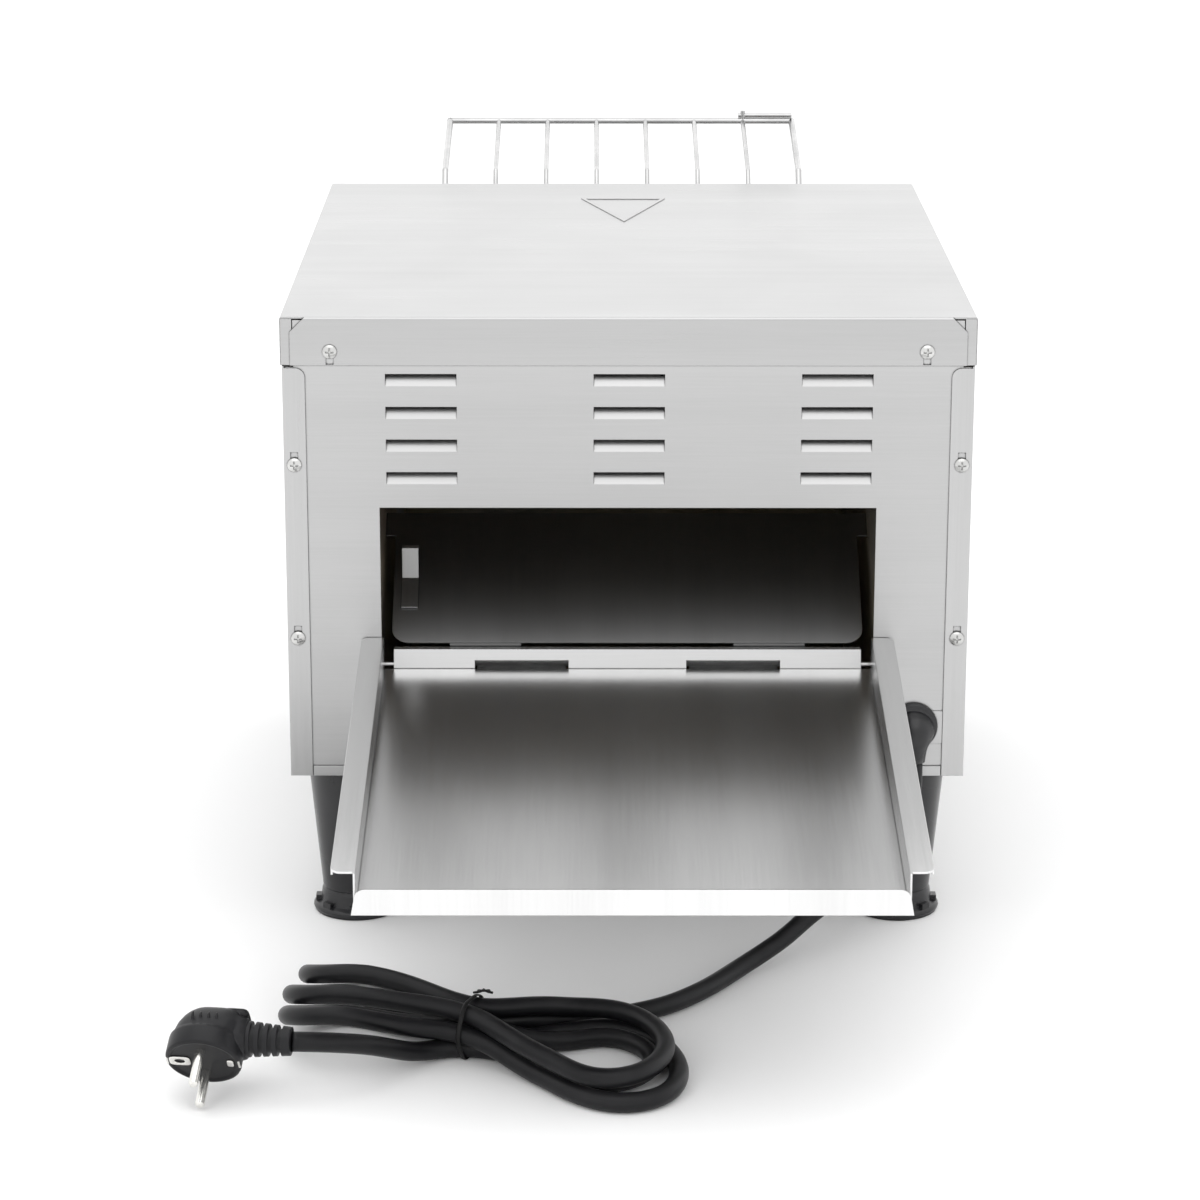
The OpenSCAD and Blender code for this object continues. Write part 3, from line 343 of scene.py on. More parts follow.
def make_plug():
    """The moulded plug: a round pin face with a rim, a step, an angled grip, and a neck towards the lead."""
    skins = []
    # height, half width towards the lead, half width across, squareness, shift towards the lead
    body = [
        (-0.9, 15.6, 15.6, 2.0, 0), (-0.9, 16.4, 16.4, 2.0, 0), (-0.1, 17.0, 17.0, 2.0, 0),
        (0, 17.7, 17.7, 2.0, 0), (-0.5, 18.7, 18.7, 2.0, 0), (-1.4, 19.0, 19.0, 2.0, 0),
        (-9.5, 18.9, 18.9, 2.0, 0), (-10.6, 18.7, 18.6, 2.05, 0), (-11.0, 17.9, 17.4, 2.2, 0.4),
        (-13, 17.8, 16.6, 2.4, 0.9), (-17, 17.2, 15.2, 2.7, 1.6), (-21, 16.0, 13.4, 2.9, 2.5),
        (-24, 14.4, 11.6, 3.0, 3.2), (-26, 12.6, 10.0, 3.0, 3.6), (-26.8, 10.0, 7.8, 2.8, 3.8),
        (-27, 6.0, 4.6, 2.4, 3.9),
    ]
    rings = [level(rounded_outline(hx, hy, power) + [shift, 0], z) for z, hx, hy, power, shift in body]
    skins.append(lofted(np.array(rings)))
    # neck from the grip to the strain relief: distance along, half width across, half height, squareness
    neck = [
        (6, 13, 9.5, 3.4), (13, 12.2, 9.3, 3.4), (17, 10.8, 9.2, 3.2),
        (19.6, 9.6, 8.9, 3), (20.2, 9.0, 8.3, 3), (20.3, 5, 5, 3),
    ]
    rings = []
    for x, wide, high, power in neck:
        ring = rounded_outline(wide, high, power)
        rings.append(np.column_stack([np.full(len(ring), x), ring[:, 0], ring[:, 1] - RELIEF_BACK]))
    skins.append(lofted(np.array(rings)))
    # raised thumb ledge on the back of the grip
    ledge = []
    for z, grow in ((-23.5, 0), (-26.9, 0), (-27.0, -0.5)):
        ring = rounded_outline(6.2 + grow, 8.6 + grow, 5)
        ledge.append(level(ring + [13.0, 0], z))
    skins.append(lofted(np.array(ledge)))
    # two shallow finger ribs each side of the grip
    for s in (-1, 1):
        for x in (-6, -2, 2, 6):
            t = np.linspace(-1, 1, 9)
            line = np.column_stack([x + 0 * t, s * (15.4 - 1.6 * t**2 + 1.3 * t), -16.5 - 3.4 * t])
            skins.append(lofted(tube_rings(line, 0.75 * (1 - 0.75 * t**4), 8)))
    verts, faces = joined(skins)
    return mesh_object("plug_moulding", plug_place(verts), faces)


def make_relief():
    """Ribbed strain relief: radius along the lead is a falling cone with four grooves cut square."""
    start, end = RELIEF
    rows, sides = 133, 40
    t = np.linspace(0, 1, rows)
    cone = 9.1 - 2.0 * t
    groove = ((t * 5.0) % 1.0 > 0.52) & (t > 0.08) & (t < 0.9)
    radius = np.where(groove, cone - 1.7, cone)
    radius[0], radius[-1] = 8.0, 5.3
    radius[-2] = 6.6
    a = np.linspace(0, 2 * np.pi, sides, endpoint=False)
    rings = np.stack([
        np.broadcast_to((start - 0.4 + t * (end - start + 0.4))[:, None], (rows, sides)),
        radius[:, None] * np.cos(a)[None], radius[:, None] * np.sin(a)[None] - RELIEF_BACK
    ], -1)
    verts, faces = lofted(rings)
    return mesh_object("relief_ribs", plug_place(verts), faces)


def make_contacts():
    """Bright earth contacts on the pin face: a rounded plate with an oval hole, and a small one opposite."""
    outer, inner = rounded_outline(5.4, 3.6, 4), rounded_outline(2.6, 1.9, 2)
    loops = [
        (outer, -0.85), (outer, -0.15), (outer * 0.95, 0.0),
        (inner * 1.08, 0.0), (inner, -0.15), (inner, -0.85),
    ]
    verts = np.concatenate([level(ring + [-11.8, 0], z) for ring, z in loops])
    # the row after the last is the first again, so the plate is closed round its hole
    faces = [tuple(v % len(verts) for v in f[::-1]) for f in grid_faces(len(loops) + 1, PLUG_SIDES)]
    skins = [(verts, faces)]
    small = rounded_outline(1.7, 2.6, 4)
    steps = ((1, -0.95), (1, -0.2), (0.85, 0.05))
    skins.append(lofted(np.array([level(small * k + [13.6, 0], z) for k, z in steps])))
    verts, faces = joined(skins)
    return mesh_object("earth_contacts", plug_place(verts), faces)


# ---------- gland ----------
GLAND = (156.0, 117.0)


def make_gland():
    """A moulded elbow hood with a collar on the panel and a tapered sleeve down round the lead.

    The hood is a tube along a quarter turn from the panel down to the lead, whose radius grows from the
    collar to the crown and tapers along the sleeve.
    """
    x, z = GLAND
    sides = 40
    bend = np.linspace(0, 1, 30)
    angle = bend * math.pi / 2
    line = np.column_stack([np.full_like(bend, x), 0.2 - 7.2 * np.sin(angle), z - 9.5 + 7.2 * np.cos(angle)])
    line = np.concatenate([[[x, 0.9, z - 2.3]], line, [[x, -7, 103], [x, -7, 99.4], [x, -7, 99.0]]])
    crown = 12.2 - 4.6 * bend**1.5
    radius = np.concatenate([[12.2], crown, [6.7, 6.3, 5.4]])
    a = np.linspace(0, 2 * np.pi, sides, endpoint=False)
    side, other = frames_along(line)
    rings = line[:, None] + radius[:, None, None] * (
        np.cos(a)[None, :, None] * side[:, None] + np.sin(a)[None, :, None] * other[:, None]
    )
    rings[..., 1] = np.clip(rings[..., 1], -15.6, 1.0)
    skins = [lofted(rings)]
    collar = ((0.9, 13.2), (-1.4, 13.2), (-2.2, 12.6), (-2.4, 11.4))
    shank = ((0.5, 7.9), (13.6, 7.9), (14.0, 7.4))
    for steps in (collar, shank):
        rings = [np.column_stack([x + r * np.cos(a), np.full(sides, y), z + r * np.sin(a)]) for y, r in steps]
        skins.append(lofted(np.array(rings)))
    verts, faces = joined(skins)
    return mesh_object("gland_hood", placed(verts), faces)


# ---------- conveyor belt ----------
DRIVE = (385.0, 253.0)
IDLER = (125.0, 253.0)
BELT_R = 17.3


def loop_point(s, a, b, ra, rb):
    """Point and outward direction at distance s along two circles joined by their outer tangents."""
    a, b = np.array(a), np.array(b)
    span = b - a
    dist = np.linalg.norm(span)
    turn = math.atan2(span[1], span[0])
    lean = math.acos((ra - rb) / dist)
    straight = math.sqrt(dist**2 - (ra - rb) ** 2)
    wrap_b, wrap_a = 2 * lean, 2 * math.pi - 2 * lean
    total = 2 * straight + rb * wrap_b + ra * wrap_a
    s = np.asarray(s, float) % total
    up = np.array([math.cos(turn + lean), math.sin(turn + lean)])
    down = np.array([math.cos(turn - lean), math.sin(turn - lean)])
    edges = np.cumsum([straight, rb * wrap_b, straight])
    out, point = np.empty((*s.shape, 2)), np.empty((*s.shape, 2))
    one = s < edges[0]
    out[one] = up
    point[one] = a + ra * up + (s[one] / straight)[:, None] * (b + rb * up - a - ra * up)
    two = (s >= edges[0]) & (s < edges[1])
    angle = turn + lean - (s[two] - edges[0]) / rb
    out[two] = np.stack([np.cos(angle), np.sin(angle)], -1)
    point[two] = b + rb * out[two]
    three = (s >= edges[1]) & (s < edges[2])
    out[three] = down
    share = ((s[three] - edges[1]) / straight)[:, None]
    point[three] = b + rb * down + share * (a + ra * down - b - rb * down)
    four = s >= edges[2]
    angle = turn - lean - (s[four] - edges[2]) / ra
    out[four] = np.stack([np.cos(angle), np.sin(angle)], -1)
    point[four] = a + ra * out[four]
    return point, out, total


def make_belt():
    """A belt of bent wires. Each wire runs across the belt in square waves that hook round the next wire.

    A wire's place along the belt is its pitch number plus hook, a part of a pitch, where the wave is high.
    """
    total = loop_point(np.zeros(1), IDLER, DRIVE, BELT_R, BELT_R)[2]
    wires, waves = 48, 10
    pitch = total / wires
    half, hook = 119.0, 0.63
    t = np.linspace(0, 1, waves * 12 + 1)
    wave = np.clip(3.2 * np.sin(2 * math.pi * waves * t), -1, 1)
    x = -half + 2 * half * t
    skins = []
    for n in range(wires):
        s = (n + hook / 2 * (1 + wave)) * pitch
        point, out, _ = loop_point(s, IDLER, DRIVE, BELT_R, BELT_R)
        # wires pass over and under their neighbours at the hooks
        lift = 0.42 * np.cos(2 * math.pi * waves * t * 2)
        point = point + lift[:, None] * out
        line = np.column_stack([x, point])
        skins.append(lofted(tube_rings(placed(line), 0.72 * MM, 6)))
    return mesh_object("wire_belt", *joined(skins))


def make_chain():
    """A roller chain: a roller and two waisted side plates for every link, along the chain's own loop."""
    motor, driven = (325.0, 150.0), DRIVE
    pitch = 6.35
    motor_teeth, driven_teeth, over = 10, 16, 2.6
    ra = pitch / (2 * math.sin(math.pi / motor_teeth)) + over
    rb = pitch / (2 * math.sin(math.pi / driven_teeth)) + over
    total = loop_point(np.zeros(1), motor, driven, ra, rb)[2]
    links = int(round(total / pitch / 2) * 2)
    s = np.arange(links) * total / links
    point, _, _ = loop_point(s, motor, driven, ra + 1.4, rb + 1.4)
    sides = 12
    a = np.linspace(0, 2 * np.pi, sides, endpoint=False)
    skins = []
    for n in range(links):
        here, after = point[n], point[(n + 1) % links]
        roller = [np.column_stack([np.full(sides, x), here[0] + r * np.cos(a), here[1] + r * np.sin(a)])
                  for x, r in ((143.2, 0.9), (143.9, 1.5), (147.1, 1.5), (147.8, 0.9))]
        skins.append(lofted(np.array(roller)))
        run = after - here
        run = run / np.linalg.norm(run)
        cross = np.array([-run[1], run[0]])
        middle, reach = (here + after) / 2, np.linalg.norm(after - here) / 2
        c, d = np.cos(a), np.sin(a)
        outline = middle + np.outer(c * (reach + 1.45), run) + np.outer(d * (1.0 + 0.45 * c**2), cross)
        offset = 0.35 if n % 2 else 0.0
        for x in (143.25 + offset, 147.15 - offset):
            plate = [np.column_stack([np.full(sides, x + dx), outline]) for dx in (0.0, 0.45)]
            skins.append(lofted(np.array(plate)))
    verts, faces = joined(skins)
    return mesh_object("roller_chain", placed(verts), faces)


def make_heater_coils():
    """A coil of resistance wire in each heater tube: a helix along X, with one turn every 4 mm."""
    skins = []
    tubes = [(y, 316.0) for y in (150, 210, 270, 330)] + [(y, 253.0) for y in (200, 300)]
    half, turns, radius = 124, 62, 2.9
    t = np.linspace(0, 1, turns * 12)
    turn = 2 * math.pi * turns * t
    for y, z in tubes:
        line = np.column_stack([-half + 2 * half * t, y + radius * np.cos(turn), z + radius * np.sin(turn)])
        skins.append(lofted(tube_rings(placed(line), 0.45 * MM, 4)))
    return mesh_object("heater_coils", *joined(skins))


# ---------- shared effects ----------
def effect(name, inputs, outputs):
    """An empty shader node group with named inputs and outputs."""
    group = bpy.data.node_groups.new(name, "ShaderNodeTree")
    for label, kind, value in inputs:
        socket = group.interface.new_socket(name=label, in_out="INPUT", socket_type=kind)
        if value is not None:
            socket.default_value = value
    for label, kind in outputs:
        group.interface.new_socket(name=label, in_out="OUTPUT", socket_type=kind)
    return group, group.nodes.new("NodeGroupInput"), group.nodes.new("NodeGroupOutput")


FLOAT, VECTOR = "NodeSocketFloat", "NodeSocketVector"


def node(tree, kind, links=(), **values):
    """Adds a node: values set its properties or, by socket name, its inputs; links join its inputs."""
    made = tree.nodes.new(kind)
    for key, value in values.items():
        if hasattr(made, key):
            setattr(made, key, value)
        else:
            made.inputs[key.replace("_", " ")].default_value = value
    for key, source in dict(links).items():
        tree.links.new(source, made.inputs[key])
    return made


def math_node(tree, operation, a, b):
    """A Math node on two sockets or numbers."""
    made = tree.nodes.new("ShaderNodeMath")
    made.operation = operation
    for n, value in enumerate((a, b)):
        if isinstance(value, (int, float)):
            made.inputs[n].default_value = value
        else:
            tree.links.new(value, made.inputs[n])
    return made.outputs[0]


def blend(tree, a, share_a, b, share_b):
    """The sum of two values, each times its share."""
    first, second = math_node(tree, "MULTIPLY", a, share_a), math_node(tree, "MULTIPLY", b, share_b)
    return math_node(tree, "ADD", first, second)


def spread(tree, value, low, high, to_low, to_high):
    """A clamped Map Range from low..high to to_low..to_high."""
    made = tree.nodes.new("ShaderNodeMapRange")
    tree.links.new(value, made.inputs["Value"])
    for label, number in (("From Min", low), ("From Max", high), ("To Min", to_low), ("To Max", to_high)):
        made.inputs[label].default_value = number
    return made.outputs["Result"]


def noise(tree, vector, scale, detail=3.0, rough=0.55):
    """A soft random value between nought and one over the surface."""
    made = node(tree, "ShaderNodeTexNoise", {"Vector": vector})
    made.inputs["Scale"].default_value = scale
    made.inputs["Detail"].default_value = detail
    made.inputs["Roughness"].default_value = rough
    return made.outputs["Fac"]


def make_grain_and_reflection():
    """Drawn-out noise along one direction: the fine lines that a brushing belt leaves on steel, and broad
    bands that are painted reflection streaks.
    """
    made = [("Lines", FLOAT), ("Painted_Reflection_Bands", FLOAT)]
    group, given, result = effect("brushed_grain_and_reflection", [("Stretch", VECTOR, (1, 1, 1))], made)
    place = group.nodes.new("ShaderNodeTexCoord").outputs["Object"]
    scaled = node(group, "ShaderNodeVectorMath", operation="MULTIPLY")
    group.links.new(place, scaled.inputs[0])
    group.links.new(given.outputs["Stretch"], scaled.inputs[1])
    fine = noise(group, scaled.outputs[0], 900.0, 3.0, 0.6)
    coarse = noise(group, scaled.outputs[0], 120.0, 2.0)
    lines = blend(group, fine, 0.65, coarse, 0.35)
    group.links.new(lines, result.inputs["Lines"])
    # the broad bands are painted reflection streaks for the colour
    group.links.new(noise(group, scaled.outputs[0], 26.0, 2.0), result.inputs["Painted_Reflection_Bands"])
    return group


def make_haze():
    """Cloudy wipe marks and a few finger touches, as a mask from 0 to 1."""
    group, given, result = effect("handling_haze", [("Scale", FLOAT, 9.0)], [("Mask", FLOAT)])
    place = group.nodes.new("ShaderNodeTexCoord").outputs["Object"]
    cloud = node(group, "ShaderNodeTexNoise", {"Vector": place, "Scale": given.outputs["Scale"]})
    cloud.inputs["Detail"].default_value = 4.0
    cloud.inputs["Distortion"].default_value = 0.7
    group.links.new(spread(group, cloud.outputs["Fac"], 0.38, 0.72, 0.0, 1.0), result.inputs["Mask"])
    return group


def make_edges():
    """A mask along sharp edges and a normal that rounds them, by comparing the surface with a rounded one."""
    made = [("Mask", FLOAT), ("Normal", VECTOR)]
    group, given, result = effect("edge_wear", [("Radius", FLOAT, 0.0006)], made)
    rounded = node(group, "ShaderNodeBevel", {"Radius": given.outputs["Radius"]}, samples=4)
    plain = group.nodes.new("ShaderNodeNewGeometry").outputs["Normal"]
    dot = node(group, "ShaderNodeVectorMath", operation="DOT_PRODUCT")
    group.links.new(rounded.outputs[0], dot.inputs[0])
    group.links.new(plain, dot.inputs[1])
    group.links.new(spread(group, dot.outputs["Value"], 0.999, 0.9, 0.0, 1.0), result.inputs["Mask"])
    group.links.new(rounded.outputs[0], result.inputs["Normal"])
    return group


def make_moulded():
    """The fine spark-eroded texture of a moulding, as a height."""
    group, given, result = effect("moulded_grain", [("Scale", FLOAT, 1400.0)], [("Height", FLOAT)])
    place = group.nodes.new("ShaderNodeTexCoord").outputs["Object"]
    cells = node(group, "ShaderNodeTexNoise", {"Vector": place, "Scale": given.outputs["Scale"]})
    cells.inputs["Detail"].default_value = 2.0
    group.links.new(cells.outputs["Fac"], result.inputs["Height"])
    return group


def make_painted_shade():
    """A mask of painted shade in seams and recesses, from how much of the space within a short width is
    filled.
    """
    group, given, result = effect("seam_shade", [("Width", FLOAT, 0.001)], [("Mask", FLOAT)])
    near = node(group, "ShaderNodeAmbientOcclusion", {"Distance": given.outputs["Width"]}, samples=6)
    group.links.new(spread(group, near.outputs["AO"], 0.4, 0.78, 1.0, 0.0), result.inputs["Mask"])
    return group


GRAIN_AND_REFLECTION, HAZE, EDGES, MOULDED, PAINTED_SHADE = make_grain_and_reflection(), make_haze(), make_edges(), make_moulded(), make_painted_shade()


# ---------- materials ----------
def new_material(name):
    """A material with its tree and Principled shader."""
    material = bpy.data.materials.new(name)
    material.use_nodes = True
    tree = material.node_tree
    return material, tree, tree.nodes["Principled BSDF"]


def use(tree, group, **values):
    """Places a shared effect in a material with its own values, and returns its outputs."""
    made = tree.nodes.new("ShaderNodeGroup")
    made.node_tree = group
    for key, value in values.items():
        made.inputs[key].default_value = value
    return made.outputs


def colour_between(tree, mask, low, high):
    """Colour that goes from low to high with a mask."""
    made = tree.nodes.new("ShaderNodeMix")
    made.data_type = "RGBA"
    tree.links.new(mask, made.inputs[0])
    made.inputs[6].default_value = (*low, 1)
    made.inputs[7].default_value = (*high, 1)
    return made.outputs[2]


def bump(tree, height, strength, distance, normal=None):
    """The normal of a surface raised by a height value, on top of another normal where one is given."""
    made = tree.nodes.new("ShaderNodeBump")
    made.inputs["Strength"].default_value = strength
    made.inputs["Distance"].default_value = distance
    tree.links.new(height, made.inputs["Height"])
    if normal is not None:
        tree.links.new(normal, made.inputs["Normal"])
    return made.outputs["Normal"]


def with_painted_shade(tree, colour, width):
    """The colour with painted shade: darkened where another surface stands within the width, in seams,
    recesses and corners.
    """
    made = tree.nodes.new("ShaderNodeMix")
    made.data_type = "RGBA"
    tree.links.new(use(tree, PAINTED_SHADE, Width=width)["Mask"], made.inputs[0])
    tree.links.new(colour, made.inputs[6])
    # near-black painted shade
    made.inputs[7].default_value = (0.02, 0.02, 0.02, 1)
    return made.outputs[2]


def steel(name, stretch, tone, rough, grain=0.05, band=0.03, relief=0.06, streak=0.05, wipe=0.05):
    """Brushed sheet: fine lines along one direction, broad faint bands of painted reflection, wipe haze,
    painted shade in seams and rounded edges.
    """
    material, tree, shader = new_material(name)
    shader.inputs["Metallic"].default_value = 1.0
    lines = use(tree, GRAIN_AND_REFLECTION, Stretch=stretch)
    marks = use(tree, HAZE, Scale=7.0)
    worn = use(tree, EDGES, Radius=0.0005)
    # band sets the strength of the painted reflection bands
    low = [c * (1 - grain - band) for c in tone]
    high = [min(c * (1 + grain + band), 1) for c in tone]
    shade = blend(tree, lines["Lines"], 0.5, lines["Painted_Reflection_Bands"], 0.5)
    plain = colour_between(tree, spread(tree, shade, 0.3, 0.7, 0, 1), low, high)
    # painted shade darkens the sheet's colour along seams and corners
    tree.links.new(with_painted_shade(tree, plain, 0.0013), shader.inputs["Base Color"])
    gloss = spread(tree, lines["Lines"], 0.3, 0.7, rough - streak, rough + streak)
    gloss = math_node(tree, "ADD", gloss, math_node(tree, "MULTIPLY", marks["Mask"], wipe))
    gloss = math_node(tree, "SUBTRACT", gloss, math_node(tree, "MULTIPLY", worn["Mask"], 0.06))
    tree.links.new(gloss, shader.inputs["Roughness"])
    tree.links.new(bump(tree, lines["Lines"], relief, 0.00006, worn["Normal"]), shader.inputs["Normal"])
    return material


def plated(name, tone, rough, recess=0.0004):
    """Plated or machined metal: faint ripples, small pits and haze, with painted shade in recesses of one
    size.
    """
    material, tree, shader = new_material(name)
    shader.inputs["Metallic"].default_value = 1.0
    place = tree.nodes.new("ShaderNodeTexCoord").outputs["Object"]
    marks = use(tree, HAZE, Scale=40.0)
    plain = colour_between(tree, marks["Mask"], tone, [c * 0.86 for c in tone])
    tree.links.new(with_painted_shade(tree, plain, recess), shader.inputs["Base Color"])
    tree.links.new(spread(tree, marks["Mask"], 0, 1, rough, rough + 0.12), shader.inputs["Roughness"])
    worn = use(tree, EDGES, Radius=0.0003)
    ripple = bump(tree, noise(tree, place, 700.0), 0.12, 0.00005, worn["Normal"])
    tree.links.new(ripple, shader.inputs["Normal"])
    return material


def moulding(name, tone, rough, scale=1400.0, depth=0.25, coat=0.0, shine=0.5):
    """Moulded plastic or rubber: fine texture, dusty bloom in patches, paler rubbed edges."""
    material, tree, shader = new_material(name)
    marks = use(tree, HAZE, Scale=22.0)
    worn = use(tree, EDGES, Radius=0.0006)
    base = colour_between(tree, marks["Mask"], tone, [min(c * 1.5 + 0.004, 1) for c in tone])
    rub = tree.nodes.new("ShaderNodeMix")
    rub.data_type = "RGBA"
    tree.links.new(math_node(tree, "MULTIPLY", worn["Mask"], 0.35), rub.inputs[0])
    tree.links.new(base, rub.inputs[6])
    rub.inputs[7].default_value = (*[min(c * 2.2 + 0.03, 1) for c in tone], 1)
    tree.links.new(rub.outputs[2], shader.inputs["Base Color"])
    tree.links.new(spread(tree, marks["Mask"], 0, 1, rough, rough + 0.12), shader.inputs["Roughness"])
    shader.inputs["Coat Weight"].default_value = coat
    shader.inputs["Specular IOR Level"].default_value = shine
    shader.inputs["Coat Roughness"].default_value = 0.12
    texture = use(tree, MOULDED, Scale=scale)
    tree.links.new(bump(tree, texture["Height"], depth, 0.00006, worn["Normal"]), shader.inputs["Normal"])
    return material


def cord_rubber():
    """Drawn rubber sheath: faint lines along the cord, slow waves where it was coiled, dusty bloom."""
    material, tree, shader = new_material("cord_sheath")
    along = tree.nodes.new("ShaderNodeUVMap")
    along.uv_map = "along"
    stretched = node(tree, "ShaderNodeMapping", {"Vector": along.outputs["UV"]})
    stretched.inputs["Scale"].default_value = (2600, 22, 1)
    lines = noise(tree, stretched.outputs[0], 1.0, 3.0)
    marks = use(tree, HAZE, Scale=30.0)
    shade = blend(tree, lines, 0.5, marks["Mask"], 0.5)
    bloom = spread(tree, shade, 0.2, 0.8, 0, 1)
    sheath = colour_between(tree, bloom, (0.004, 0.004, 0.005), (0.013, 0.013, 0.014))
    tree.links.new(sheath, shader.inputs["Base Color"])
    tree.links.new(spread(tree, shade, 0.2, 0.8, 0.36, 0.5), shader.inputs["Roughness"])
    shader.inputs["Specular IOR Level"].default_value = 0.24
    place = tree.nodes.new("ShaderNodeTexCoord").outputs["Object"]
    first = bump(tree, noise(tree, place, 900.0), 0.15, 0.00006)
    tree.links.new(bump(tree, lines, 0.3, 0.00008, first), shader.inputs["Normal"])
    return material


def chamber_steel():
    """Plain sheet that heat has coloured: straw and blue clouds over mill lines, rougher than the casing."""
    material, tree, shader = new_material("heat_tinted_sheet")
    shader.inputs["Metallic"].default_value = 1.0
    place = tree.nodes.new("ShaderNodeTexCoord").outputs["Object"]
    cloud = noise(tree, place, 6.0, 3.0)
    ramp = tree.nodes.new("ShaderNodeValToRGB")
    tree.links.new(cloud, ramp.inputs[0])
    stops = [
        (0.25, (0.42, 0.42, 0.42, 1)), (0.5, (0.40, 0.34, 0.25, 1)),
        (0.68, (0.30, 0.23, 0.20, 1)), (0.85, (0.20, 0.22, 0.28, 1)),
    ]
    for at, tint in stops[1:-1]:
        ramp.color_ramp.elements.new(at).color = tint
    ramp.color_ramp.elements[0].position, ramp.color_ramp.elements[0].color = stops[0]
    ramp.color_ramp.elements[-1].position, ramp.color_ramp.elements[-1].color = stops[-1]
    tree.links.new(ramp.outputs["Color"], shader.inputs["Base Color"])
    lines = use(tree, GRAIN_AND_REFLECTION, Stretch=(1, 0.05, 1))
    tree.links.new(spread(tree, lines["Lines"], 0.3, 0.7, 0.34, 0.5), shader.inputs["Roughness"])
    worn = use(tree, EDGES, Radius=0.0004)
    tree.links.new(bump(tree, lines["Lines"], 0.15, 0.0001, worn["Normal"]), shader.inputs["Normal"])
    return material


def quartz():
    """Milky quartz tube: clear with frosted streaks along it."""
    material, tree, shader = new_material("quartz_tube")
    shader.inputs["Transmission Weight"].default_value = 0.85
    shader.inputs["IOR"].default_value = 1.46
    place = tree.nodes.new("ShaderNodeTexCoord").outputs["Object"]
    stretched = node(tree, "ShaderNodeMapping", {"Vector": place})
    stretched.inputs["Scale"].default_value = (30, 700, 700)
    streak = noise(tree, stretched.outputs[0], 1.0)
    milk = colour_between(tree, streak, (0.95, 0.93, 0.88), (0.80, 0.74, 0.64))
    tree.links.new(milk, shader.inputs["Base Color"])
    tree.links.new(spread(tree, streak, 0.3, 0.7, 0.08, 0.32), shader.inputs["Roughness"])
    return material


def lens():
    """Amber lamp lens with moulded rings."""
    material, tree, shader = new_material("amber_lens")
    place = tree.nodes.new("ShaderNodeTexCoord").outputs["Object"]
    rings = noise(tree, place, 500.0, 1.0)
    amber = colour_between(tree, rings, (0.62, 0.13, 0.02), (0.9, 0.30, 0.05))
    tree.links.new(amber, shader.inputs["Base Color"])
    tree.links.new(spread(tree, rings, 0.3, 0.7, 0.10, 0.22), shader.inputs["Roughness"])
    tree.links.new(bump(tree, rings, 0.2, 0.0001), shader.inputs["Normal"])
    return material


def grey(level):
    """An even grey."""
    return (level, level, level)


